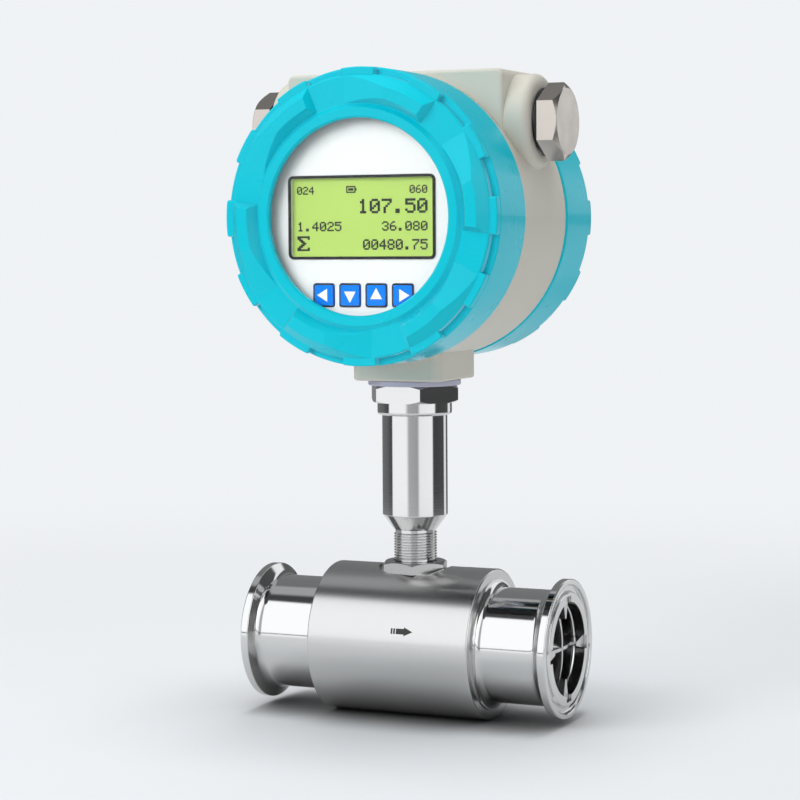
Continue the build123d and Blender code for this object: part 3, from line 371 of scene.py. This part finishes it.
# %% Dial, display and glass
def circuit_material():
    """Green solder resist with a faint pattern of tracks underneath."""
    resist = (0.01, 0.16, 0.06)
    material, tree, shader = new_material("Circuit board", resist, 0.3, Coat_Weight=0.5)
    place = add_node(tree, "ShaderNodeTexCoord")
    cells = add_node(tree, "ShaderNodeTexBrick")
    cells.inputs["Scale"].default_value = 160.0
    cells.inputs["Color1"].default_value = (0.008, 0.13, 0.05, 1.0)
    cells.inputs["Color2"].default_value = (0.010, 0.17, 0.06, 1.0)
    cells.inputs["Mortar"].default_value = (0.03, 0.26, 0.10, 1.0)
    cells.inputs["Mortar Size"].default_value = 0.03
    turn = add_node(tree, "ShaderNodeMapping")
    turn.inputs["Rotation"].default_value = (math.radians(90), 0, 0)
    tree.links.new(place.outputs["Object"], turn.inputs["Vector"])
    tree.links.new(turn.outputs["Vector"], cells.inputs["Vector"])
    tree.links.new(cells.outputs["Color"], shader.inputs["Base Color"])
    return material


board_green = circuit_material()
dial_white = moulded("Dial white", (0.80, 0.80, 0.81), 0.30, 0.36, 0.01)
display_green, _, _ = new_material("Display green", (0.43, 0.61, 0.125), 0.30)
segment_black, _, _ = new_material("Segment black", (0.012, 0.016, 0.010), 0.35)
print_white, _, _ = new_material("Print white", (0.88, 0.88, 0.88), 0.30)
window_glass, _, _ = new_material(
    "Window glass", (0.98, 1.0, 0.99), 0.02, Transmission_Weight=1.0, IOR=1.45,
    Specular_Tint=(0.15, 0.15, 0.15, 1.0),
)
print("display", dial_white.name, display_green.name, window_glass.name)

# %% [markdown]
# The glass lets all light through to the dial, so it casts no shadow. The steel below the head
# mirrors the studio and not the paint above it, as in the photograph.

# %% Shadow of the glass and mirroring of the paint
nodes["window_glass"].visible_shadow = False
for name in ("front_cover", "rear_cover", "housing"):
    nodes[name].visible_glossy = False
print("no shadow: window_glass, not mirrored: front_cover, rear_cover, housing")

# %% [markdown]
# ## Dress the solid pieces
# Each solid keeps its shape and gets a finish. The table says which, in the words that a parts
# list would use, and the loop checks that no piece is left without one.

# %% Finish of every solid
finishes = {
    pipe_steel: ["flow_body", "inlet_guide", "outlet_guide", "rotor"],
    ferrule_steel: ["inlet_ferrule", "outlet_ferrule", "inlet_snap_ring", "outlet_snap_ring"],
    stem_steel: ["sensor_tube", "stem_adapter"],
    nut_steel: ["lock_nut"],
    carbide: ["inlet_bush", "outlet_bush", "rotor_shaft"],
    washer_nylon: ["stem_washer"],
    soft_iron: ["pickup_core"],
    copper_wire: ["pickup_coil"],
    magnet_plate: ["pickup_magnet"],
    board_green: ["preamp_board", "display_board", "terminal_board"],
    lead_grey: ["sensor_lead"],
    casting_paint: ["housing"],
    cover_paint: ["front_cover", "rear_cover"],
    window_glass: ["window_glass"],
    seal_rubber: [
        "window_gasket", "front_cover_seal", "rear_cover_seal",
        "left_plug_seal", "right_plug_seal",
    ],
    gloss_black: ["glass_lock_ring", "lcd_frame"],
    plug_plate: ["left_plug", "right_plug"],
    dial_white: ["dial_plate"],
    display_green: ["lcd_panel"],
    key_blue: ["key_left", "key_down", "key_up", "key_right"],
    case_black: ["module_case", "battery_clip"],
    turned_brass: ["module_pillars", "board_posts"],
    zinc_plate: ["module_screws", "board_screws", "terminal_screws"],
    terminal_green: ["terminal_block"],
    cell_wrap: ["battery_cell"],
}
dressed = set()
for finish, names in finishes.items():
    for name in names:
        mesh = nodes[name].data
        mesh.materials.clear()
        mesh.materials.append(finish)
        dressed.add(name)
print("dressed", len(dressed), "left", sorted(set(nodes) - dressed))

# %% [markdown]
# ## Thread of the neck
# The neck of the sensor tube has a fine M16 thread. A tooth's section has four corners, and a
# spin about the stem's axis that also climbs one pitch a turn winds it into a screw's ridge.

# %% Thread maker
TOOTH_FOOT = 0.44
TOOTH_TIP = 0.07


def wind_thread(mesh_bm, axis_turn, start, root, crest, pitch, turns, steps):
    """A screw's ridge about local Z, placed by a matrix. Start is the height of the first turn."""
    half = pitch * TOOTH_FOOT
    tip = pitch * TOOTH_TIP
    outline = [(root, -half), (crest, -tip), (crest, tip), (root, half)]
    corners = [mesh_bm.verts.new((radius, 0, start + height)) for radius, height in outline]
    section = mesh_bm.faces.new(corners)
    bmesh.ops.spin(
        mesh_bm, geom=[section], cent=(0, 0, 0), axis=(0, 0, 1), dvec=(0, 0, pitch / steps),
        angle=2 * math.pi * turns, steps=round(steps * turns),
        use_merge=False, use_duplicate=False,
    )
    bmesh.ops.transform(mesh_bm, matrix=axis_turn, verts=mesh_bm.verts)


# %% Wind the neck's thread
NECK_PITCH = 1.0 * MM
NECK_ROOT = 7.3 * MM
NECK_CREST = 7.95 * MM
NECK_TURNS = 10.4
NECK_STEPS = 48
ABOVE_NUT = 0.4 * MM
THREAD_SMOOTH = 50
neck_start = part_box("lock_nut")[1].z + ABOVE_NUT
neck_bm = bmesh.new()
wind_thread(
    neck_bm, Matrix.Translation(stem_axis), neck_start,
    NECK_ROOT, NECK_CREST, NECK_PITCH, NECK_TURNS, NECK_STEPS,
)
add_piece("neck_thread", neck_bm, "head", stem_steel, THREAD_SMOOTH)

# %% [markdown]
# ## Threads of the covers and plugs
# When a cover or a plug is screwed out, the thread on its shank comes into view. The same
# winding serves, turned so that its axis points out of the head. All are right-handed. The
# first table says where each thread goes, the second how its cover or plug is finished.

# %% Cover and plug threads
COVER_PITCH = 2.0 * MM
COVER_ROOT = 45.2 * MM
COVER_CREST = 45.85 * MM
COVER_TURNS = 4.2
PLUG_PITCH = 1.5 * MM
PLUG_ROOT = 9.15 * MM
PLUG_CREST = 9.8 * MM
PLUG_TURNS = 6.0
SCREW_STEPS = 64
plug_low, plug_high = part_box("right_plug")
plug_reach = plug_low.x - stem_axis.x
entry_z = (plug_low.z + plug_high.z) / 2
cover_start = -cover_high.y + COVER_PITCH
plug_start = plug_reach + PLUG_PITCH
cover_ridge = (cover_start, COVER_ROOT, COVER_CREST, COVER_PITCH, COVER_TURNS)
plug_ridge = (plug_start, PLUG_ROOT, PLUG_CREST, PLUG_PITCH, PLUG_TURNS)
screws = {
    "front_cover": ("X", 90, head_centre.z, cover_ridge),
    "rear_cover": ("X", -90, head_centre.z, cover_ridge),
    "right_plug": ("Y", 90, entry_z, plug_ridge),
    "left_plug": ("Y", -90, entry_z, plug_ridge),
}
screw_finish = {
    "front_cover": ("turquoise_paint", cover_paint),
    "rear_cover": ("turquoise_paint", cover_paint),
    "right_plug": ("nickel_plate", plug_plate),
    "left_plug": ("nickel_plate", plug_plate),
}
for screw_name, (about, turn, height, ridge) in screws.items():
    aim = Matrix.Rotation(math.radians(turn), 4, about)
    thread_bm = bmesh.new()
    wind_thread(
        thread_bm, Matrix.Translation((stem_axis.x, 0, height)) @ aim, *ridge, SCREW_STEPS,
    )
    slot_name, finish = screw_finish[screw_name]
    add_piece(
        "thread_of_" + screw_name, thread_bm, screw_name, finish, THREAD_SMOOTH,
    )

# %% [markdown]
# ## Display figures
# The display is a grid of square dots. Each figure is a small pattern of rows, read from top to
# bottom. A run of dots in a row is one flat bar just in front of the cell, a little larger than
# its dots, because the dark dots of such a display spread into each other.

# %% Dot patterns
dot_patterns = {
    "0": ["01110", "10001", "10011", "10101", "11001", "10001", "01110"],
    "1": ["00100", "01100", "00100", "00100", "00100", "00100", "01110"],
    "2": ["01110", "10001", "00001", "00110", "01000", "10000", "11111"],
    "3": ["01110", "10001", "00001", "00110", "00001", "10001", "01110"],
    "4": ["00010", "00110", "01010", "10010", "11111", "00010", "00010"],
    "5": ["11111", "10000", "11110", "00001", "00001", "10001", "01110"],
    "6": ["00110", "01000", "10000", "11110", "10001", "10001", "01110"],
    "7": ["11111", "00001", "00010", "00100", "01000", "01000", "01000"],
    "8": ["01110", "10001", "10001", "01110", "10001", "10001", "01110"],
    "9": ["01110", "10001", "10001", "01111", "00001", "00010", "01100"],
    ".": ["00000", "00000", "00000", "00000", "00000", "01100", "01100"],
    "sum": [
        "1111111", "1100001", "0110000", "0011000", "0001100",
        "0011000", "0110000", "1100001", "1111111",
    ],
    "battery": [
        "01111111110", "01000000010", "01011111011",
        "01011111011", "01000000010", "01111111110",
    ],
}
print("patterns", len(dot_patterns))


# %% Dot helpers
DOT_SPREAD = 0.22
FIGURE_RISE = 0.05 * MM
CELL_DOTS = 6


def add_dots(mesh_bm, rows, left, top, dot, front):
    """Flat bars for the runs of dark dots in a pattern. Dot is the width and height of one."""
    for row, line in enumerate(rows):
        middle = top - (row + 0.5) * dot[1]
        for run in re.finditer("1+", line):
            centre = Vector((left + (run.start() + run.end()) / 2 * dot[0], front, middle))
            width = (run.end() - run.start() + DOT_SPREAD) * dot[0]
            add_box(mesh_bm, centre, Vector((width, FIGURE_RISE, (1 + DOT_SPREAD) * dot[1])))


def add_figures(mesh_bm, text, edge, top, dot, front, align_right):
    """A line of figures that starts at a left edge, or ends at a right edge."""
    cell = CELL_DOTS * dot[0]
    left = edge - (len(text) * cell - dot[0]) if align_right else edge
    for place, sign in enumerate(text):
        add_dots(mesh_bm, dot_patterns[sign], left + place * cell, top, dot, front)


# %% Places on the display
FRAME_COVERS = 1.0 * MM
LEFT_MARGIN = 1.8 * MM
RIGHT_MARGIN = 2.6 * MM
STATUS_DROP = 2.8 * MM
MAIN_DROP = 7.4 * MM
PAIR_DROP = 15.2 * MM
SUM_DROP = 20.2 * MM
TOTAL_DROP = 21.4 * MM
BATTERY_ALONG = 18.8 * MM
lcd_low, lcd_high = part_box("lcd_panel")
figure_front = lcd_low.y - FIGURE_RISE / 2
left_edge = lcd_low.x + FRAME_COVERS + LEFT_MARGIN
right_edge = lcd_high.x - FRAME_COVERS - RIGHT_MARGIN
visible_top = lcd_high.z - FRAME_COVERS
small_dot = (0.39 * MM, 0.39 * MM)
large_dot = (0.75 * MM, 0.70 * MM)
middle_dot = (0.49 * MM, 0.46 * MM)
total_dot = (0.52 * MM, 0.51 * MM)
sum_dot = (0.68 * MM, 0.57 * MM)
print("display from", round(left_edge, 4), "to", round(right_edge, 4))

# %% [markdown]
# A line of figures has its text, the drop from the top of the display, its dots, and the side
# that it keeps to. The numbers are plain ones. The two signs are a battery and a sum.

# %% Set the figures on the display
figure_lines = [
    ("024", STATUS_DROP, small_dot, "left"),
    ("060", STATUS_DROP, small_dot, "right"),
    ("107.50", MAIN_DROP, large_dot, "right"),
    ("1.4025", PAIR_DROP, middle_dot, "left"),
    ("36.080", PAIR_DROP, middle_dot, "right"),
    ("00480.75", TOTAL_DROP, total_dot, "right"),
]
signs = [
    ("battery", left_edge + BATTERY_ALONG, STATUS_DROP, small_dot),
    ("sum", left_edge, SUM_DROP, sum_dot),
]
figures_bm = bmesh.new()
for text, drop, dot, side in figure_lines:
    edge = right_edge if side == "right" else left_edge
    add_figures(figures_bm, text, edge, visible_top - drop, dot, figure_front, side == "right")
for sign, left, drop, dot in signs:
    add_dots(figures_bm, dot_patterns[sign], left, visible_top - drop, dot, figure_front)
add_piece("display_figures", figures_bm, "head", segment_black)

# %% [markdown]
# ## Arrow keys
# Each blue key has a black rim round its cap and a plain white triangle. The rim is one square
# whose corners are bevelled round, inset once, and opened in the middle. The triangle is a
# circle of three points. Both get a thickness and move with their key.

# %% Plate helper
def stand_plate(mesh_bm, rise, centre, turn=0.0):
    """Give a flat shape in XY a thickness and stand it up to face the display's side."""
    bmesh.ops.solidify(mesh_bm, geom=mesh_bm.faces[:], thickness=rise)
    aim = Matrix.Rotation(math.radians(90), 4, "X") @ Matrix.Rotation(math.radians(turn), 4, "Z")
    bmesh.ops.transform(mesh_bm, matrix=Matrix.Translation(centre) @ aim, verts=mesh_bm.verts)


# %% Rims and arrows of the keys
KEY_CAP = 8.2 * MM
KEY_RIM = 0.55 * MM
KEY_CORNER = 1.0 * MM
CORNER_STEPS = 5
ARROW_RADIUS = 2.6 * MM
PRINT_RISE = 0.06 * MM
arrow_turns = {"key_left": 180, "key_down": -90, "key_up": 90, "key_right": 0}
for key_name, turn in arrow_turns.items():
    low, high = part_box(key_name)
    front = Vector(((low.x + high.x) / 2, low.y - PRINT_RISE / 2, (low.z + high.z) / 2))
    rim_bm = bmesh.new()
    bmesh.ops.create_grid(rim_bm, x_segments=1, y_segments=1, size=KEY_CAP / 2)
    bmesh.ops.bevel(
        rim_bm, geom=rim_bm.verts[:], offset=KEY_CORNER, offset_type="OFFSET",
        segments=CORNER_STEPS, profile=0.5, affect="VERTICES", material=-1,
    )
    bmesh.ops.inset_individual(rim_bm, faces=rim_bm.faces[:], thickness=KEY_RIM)
    middle = min(rim_bm.faces, key=lambda face: face.calc_center_median().length)
    bmesh.ops.delete(rim_bm, geom=[middle], context="FACES_ONLY")
    stand_plate(rim_bm, PRINT_RISE, front)
    add_piece("rim_of_" + key_name, rim_bm, key_name, segment_black)
    arrow_bm = bmesh.new()
    bmesh.ops.create_circle(arrow_bm, cap_ends=True, segments=3, radius=ARROW_RADIUS)
    tip = next(iter(arrow_bm.verts)).co.copy()
    stand_plate(arrow_bm, PRINT_RISE, front, turn - math.degrees(math.atan2(tip.y, tip.x)))
    add_piece("arrow_of_" + key_name, arrow_bm, key_name, print_white)

# %% [markdown]
# ## Flow arrow
# A plain black arrow with two dashes behind it shows the direction of flow. It starts as flat
# outlines cut into narrow strips, and every point is then laid on the round of the pipe.

# %% Arrow on the pipe
ARROW_LENGTH = 6.4 * MM
ARROW_HEAD = 3.3 * MM
ARROW_HALF = 1.6 * MM
SHAFT_HALF = 1.0 * MM
DASH = 0.6 * MM
DASH_STEP = 1.0 * MM
PRINT_LIFT = 0.08 * MM
ARROW_TILT = math.radians(15)
TIP_PAST_STEM = 10.2 * MM
STRIP_EDGES = (-0.6 * MM, 0.0, 0.6 * MM)
arrow_tip = stem_axis.x + TIP_PAST_STEM
neck_x = arrow_tip - ARROW_HEAD
tail_x = arrow_tip - ARROW_LENGTH
flow_bm = bmesh.new()
outlines = [[
    (tail_x, -SHAFT_HALF), (neck_x, -SHAFT_HALF), (neck_x, -ARROW_HALF), (arrow_tip, 0),
    (neck_x, ARROW_HALF), (neck_x, SHAFT_HALF), (tail_x, SHAFT_HALF),
]]
for number in (1, 2):
    start_x = tail_x - number * DASH_STEP
    outlines.append([
        (start_x, -SHAFT_HALF), (start_x + DASH, -SHAFT_HALF),
        (start_x + DASH, SHAFT_HALF), (start_x, SHAFT_HALF),
    ])
for outline in outlines:
    flow_bm.faces.new([flow_bm.verts.new((along, 0, height)) for along, height in outline])
for height in STRIP_EDGES:
    bmesh.ops.bisect_plane(
        flow_bm, geom=flow_bm.faces[:] + flow_bm.edges[:] + flow_bm.verts[:],
        plane_co=(0, 0, height), plane_no=(0, 0, 1),
    )
for corner in flow_bm.verts:
    angle = ARROW_TILT + corner.co.z / pipe_radius
    reach = pipe_radius + PRINT_LIFT
    corner.co = Vector((corner.co.x, -reach * math.cos(angle), reach * math.sin(angle)))
add_piece("flow_arrow", flow_bm, "pipe", segment_black)

# %% [markdown]
# ## Camera
# The camera stands where the photograph was taken: to the right of the front, a little above
# the display, with a long lens. Its axes are worked out from its two angles and a slight roll.

# %% Place the camera
CAMERA_PLACE = Vector((402.57, -778.70, 145.57)) * MM
CAMERA_YAW = 0.42077
CAMERA_PITCH = 0.06705
CAMERA_ROLL = -0.00609
LENS = 104.51
SENSOR = 36.0
FAR_END = 20
look = Vector((
    -math.sin(CAMERA_YAW) * math.cos(CAMERA_PITCH),
    math.cos(CAMERA_YAW) * math.cos(CAMERA_PITCH),
    -math.sin(CAMERA_PITCH),
))
level = Vector((math.cos(CAMERA_YAW), math.sin(CAMERA_YAW), 0))
upright = level.cross(look)
right = math.cos(CAMERA_ROLL) * level + math.sin(CAMERA_ROLL) * upright
up = math.cos(CAMERA_ROLL) * upright - math.sin(CAMERA_ROLL) * level
camera_data = bpy.data.cameras.new("camera")
camera_data.lens = LENS
camera_data.sensor_width = SENSOR
camera_data.clip_end = FAR_END
camera = bpy.data.objects.new("camera", camera_data)
bpy.context.scene.collection.objects.link(camera)
axes = Matrix((right, up, -look)).transposed().to_4x4()
camera.matrix_world = Matrix.Translation(CAMERA_PLACE) @ axes
bpy.context.scene.camera = camera
print("camera", [round(value, 4) for value in CAMERA_PLACE])

# %% [markdown]
# ## Floor, backdrop and light
# The camera and the glass see one pale grey all round, plain light sees it at the level of the
# fill, and the floor fades into it, so that no horizon shows. Polished steel looks like steel
# only when it mirrors light and dark shapes, so its reflections see a studio instead: two white
# walls in front, a grey gap between them where the camera stands, dark sides and a light strip
# at the back. The level depends only on the compass direction and the height, so it stays in
# place in every view.

# %% Studio surround
STRIP_COMPASS = math.radians(114)
STRIP_HALF = math.radians(10)
CEILING_STARTS = 0.82
CEILING_FULL = 0.85
wall_stops = [
    (-180, 0.13), (-154, 0.05), (-151, 1.0), (-96, 1.0), (-87, 0.42), (-57, 0.36), (-50, 0.92),
    (-3, 0.96), (1, 0.05), (55, 0.07), (59, 0.8), (73, 0.8), (77, 0.08), (129, 0.16), (180, 0.13),
]


def make_surround_group():
    """How bright the studio is in a direction, from 0 to 1. Wall stops are compass degrees."""
    group, entry, result = new_group(
        "Studio surround",
        [("Direction", "NodeSocketVector", None), ("Back strip", "NodeSocketFloat", 0.75)],
        [("Brightness", "NodeSocketFloat")],
    )
    split = add_node(group, "ShaderNodeSeparateXYZ")
    group.links.new(entry.outputs["Direction"], split.inputs["Vector"])
    compass = add_math(group, "ARCTAN2", split.outputs["Y"], split.outputs["X"])
    share = add_math(group, "MULTIPLY_ADD", compass, 0.5 / math.pi, 0.5)
    walls = add_node(group, "ShaderNodeValToRGB")
    group.links.new(share, walls.inputs["Fac"])
    ramp = walls.color_ramp.elements
    while len(ramp) < len(wall_stops):
        ramp.new(0.5)
    for element, (angle, value) in zip(ramp, wall_stops):
        element.position = (angle + 180) / 360
        element.color = (value, value, value, 1.0)
    strip = add_math(group, "COMPARE", compass, STRIP_COMPASS, STRIP_HALF)
    strip = add_math(group, "MULTIPLY", strip, entry.outputs["Back strip"])
    ring = add_math(group, "MAXIMUM", walls.outputs["Color"], strip)
    ceiling = add_node(group, "ShaderNodeMapRange", interpolation_type="SMOOTHSTEP")
    group.links.new(split.outputs["Y"], ceiling.inputs["Value"])
    ceiling.inputs["From Min"].default_value = -0.12
    ceiling.inputs["From Max"].default_value = 0.02
    ceiling.inputs["To Min"].default_value = 0.05
    ceiling.inputs["To Max"].default_value = 0.33
    overhead = add_node(group, "ShaderNodeMapRange", interpolation_type="SMOOTHSTEP")
    group.links.new(split.outputs["Z"], overhead.inputs["Value"])
    overhead.inputs["From Min"].default_value = CEILING_STARTS
    overhead.inputs["From Max"].default_value = CEILING_FULL
    blend = add_node(group, "ShaderNodeMix", data_type="FLOAT")
    group.links.new(overhead.outputs["Result"], blend.inputs["Factor"])
    group.links.new(ring, blend.inputs["A"])
    group.links.new(ceiling.outputs["Result"], blend.inputs["B"])
    group.links.new(blend.outputs["Result"], result.inputs["Brightness"])
    return group


surround_group = make_surround_group()
print("group", surround_group.name)


# %% Light for each kind of ray
BACKGROUND = (0.87, 0.89, 0.91)
FILL = 0.50


def background_light(tree, direction, wall_light, back_strip, shader_kind):
    """A shader that shows the pale background to the camera and the studio to gloss."""
    path = add_node(tree, "ShaderNodeLightPath")
    surround = place_group(tree, surround_group, Back_strip=back_strip)
    tree.links.new(direction, surround.inputs["Direction"])
    mirrored = add_math(tree, "MULTIPLY", surround.outputs["Brightness"], wall_light)
    camera_ray, glass_ray = path.outputs["Is Camera Ray"], path.outputs["Is Transmission Ray"]
    seen = add_math(tree, "MAXIMUM", camera_ray, glass_ray)
    plain = add_math(tree, "MULTIPLY_ADD", seen, 1.0 - FILL, FILL)
    unseen = add_math(tree, "SUBTRACT", 1.0, seen)
    glossy = add_math(tree, "MULTIPLY", path.outputs["Is Glossy Ray"], unseen)
    level = add_node(tree, "ShaderNodeMix", data_type="FLOAT")
    tree.links.new(glossy, level.inputs["Factor"])
    tree.links.new(plain, level.inputs["A"])
    tree.links.new(mirrored, level.inputs["B"])
    shader = add_node(tree, shader_kind)
    shader.inputs["Color"].default_value = (*BACKGROUND, 1.0)
    tree.links.new(level.outputs["Result"], shader.inputs["Strength"])
    return shader


# %% World
WALL_LIGHT = 1.65
HORIZON_LEVEL = 0.35
HORIZON_TOP = 0.026
SKY_STRIP = 0.16
world = bpy.data.worlds.new("studio")
bpy.context.scene.world = world
world.use_nodes = True
world_tree = world.node_tree
world_tree.nodes.clear()
sky = add_node(world_tree, "ShaderNodeTexCoord")
sky_height = add_node(world_tree, "ShaderNodeSeparateXYZ")
world_tree.links.new(sky.outputs["Generated"], sky_height.inputs["Vector"])
above_horizon = add_math(world_tree, "GREATER_THAN", sky_height.outputs["Z"], HORIZON_TOP)
wall_light = add_math(
    world_tree, "MULTIPLY_ADD", above_horizon, WALL_LIGHT - HORIZON_LEVEL, HORIZON_LEVEL,
)
sky_light = background_light(
    world_tree, sky.outputs["Generated"], wall_light, SKY_STRIP, "ShaderNodeBackground",
)
world_out = add_node(world_tree, "ShaderNodeOutputWorld")
world_tree.links.new(sky_light.outputs["Background"], world_out.inputs["Surface"])
print("world", world.name)

# %% [markdown]
# The floor is a plain matt surface near the pipe, where it catches the shadow, and turns into
# the background further out. Right under the pipe, where little light gets in, it is shaded.

# %% Floor
FLOOR_REACH = 6.0
FLOOR_NEAR = 0.25
FLOOR_FAR = 0.75
FLOOR_WALL_LIGHT = 1.45
FLOOR_STRIP = 0.75
FLOOR_COLOUR = (0.77, 0.78, 0.795)
SHADE_COLOUR = (0.10, 0.10, 0.10)
CONTACT_REACH = 0.022
CONTACT_SAMPLES = 16
floor_bm = bmesh.new()
bmesh.ops.create_grid(floor_bm, x_segments=1, y_segments=1, size=FLOOR_REACH)
bmesh.ops.translate(floor_bm, vec=(stem_axis.x, 0, floor_height), verts=floor_bm.verts)
floor_mesh = bpy.data.meshes.new("floor")
floor_bm.to_mesh(floor_mesh)
floor_bm.free()
floor = bpy.data.objects.new("floor", floor_mesh)
bpy.context.scene.collection.objects.link(floor)
floor_material = bpy.data.materials.new("Floor")
floor_material.use_nodes = True
floor_tree = floor_material.node_tree
floor_tree.nodes.clear()
floor_place = add_node(floor_tree, "ShaderNodeTexCoord")
from_stem = add_node(floor_tree, "ShaderNodeMapping")
from_stem.inputs["Location"].default_value = (-stem_axis.x, 0, -floor_height)
floor_tree.links.new(floor_place.outputs["Object"], from_stem.inputs["Vector"])
away = add_node(floor_tree, "ShaderNodeVectorMath", operation="LENGTH")
floor_tree.links.new(from_stem.outputs["Vector"], away.inputs[0])
fade = add_node(floor_tree, "ShaderNodeMapRange", interpolation_type="SMOOTHSTEP")
floor_tree.links.new(away.outputs["Value"], fade.inputs["Value"])
fade.inputs["From Min"].default_value = FLOOR_NEAR
fade.inputs["From Max"].default_value = FLOOR_FAR
contact = add_node(floor_tree, "ShaderNodeAmbientOcclusion", samples=CONTACT_SAMPLES)
contact.inputs["Distance"].default_value = CONTACT_REACH
shade = add_node(floor_tree, "ShaderNodeMapRange", interpolation_type="SMOOTHSTEP")
floor_tree.links.new(contact.outputs["AO"], shade.inputs["Value"])
near_colour = add_node(floor_tree, "ShaderNodeMix", data_type="RGBA")
floor_tree.links.new(shade.outputs["Result"], near_colour.inputs["Factor"])
near_colour.inputs["A"].default_value = (*SHADE_COLOUR, 1.0)
near_colour.inputs["B"].default_value = (*FLOOR_COLOUR, 1.0)
near_shader = add_node(floor_tree, "ShaderNodeBsdfDiffuse")
floor_tree.links.new(near_colour.outputs["Result"], near_shader.inputs["Color"])
far_light = background_light(
    floor_tree, from_stem.outputs["Vector"], FLOOR_WALL_LIGHT, FLOOR_STRIP, "ShaderNodeEmission",
)
floor_mix = add_node(floor_tree, "ShaderNodeMixShader")
floor_tree.links.new(fade.outputs["Result"], floor_mix.inputs["Fac"])
floor_tree.links.new(near_shader.outputs["BSDF"], floor_mix.inputs[1])
floor_tree.links.new(far_light.outputs["Emission"], floor_mix.inputs[2])
floor_out = add_node(floor_tree, "ShaderNodeOutputMaterial")
floor_tree.links.new(floor_mix.outputs["Shader"], floor_out.inputs["Surface"])
floor_mesh.materials.append(floor_material)
print("floor at", round(floor_height, 4))


# %% [markdown]
# Each lamp is a soft rectangle. Its level is what it adds to a white surface that faces it at
# the target. Only the one at the right is mirrored by the steel, as a soft light edge.

# %% Lamps
def add_panel(name, place, target, size, level, mirrored):
    """A soft lamp at a place, turned to its target."""
    data = bpy.data.lights.new(name, "AREA")
    data.shape = "RECTANGLE"
    data.size = size[0]
    data.size_y = size[1]
    reach = Vector(target) - Vector(place)
    data.energy = level * math.pi ** 2 * reach.length_squared
    lamp = bpy.data.objects.new(name, data)
    bpy.context.scene.collection.objects.link(lamp)
    lamp.matrix_world = Matrix.LocRotScale(Vector(place), reach.to_track_quat("-Z", "Y"), None)
    lamp.visible_glossy = mirrored
    print(name, "power", round(data.energy, 2))


AIM_HEIGHT = 0.09
aim_point = (stem_axis.x, 0, AIM_HEIGHT)
add_panel("front panel", (-0.55, -1.20, 0.75), aim_point, (1.0, 0.8), 0.50, False)
add_panel("right panel", (1.35, -0.30, 0.45), aim_point, (0.8, 0.8), 0.08, True)
add_panel("top panel", (0.06, 0.05, 1.40), aim_point, (0.70, 0.50), 0.46, False)
add_panel("back panel", (-0.3, 1.30, 0.60), aim_point, (0.9, 0.7), 0.22, False)

# %% [markdown]
# ## Finish
# The colours are shown as they are, with the Standard view.

# %% View
bpy.context.scene.view_settings.view_transform = "Standard"
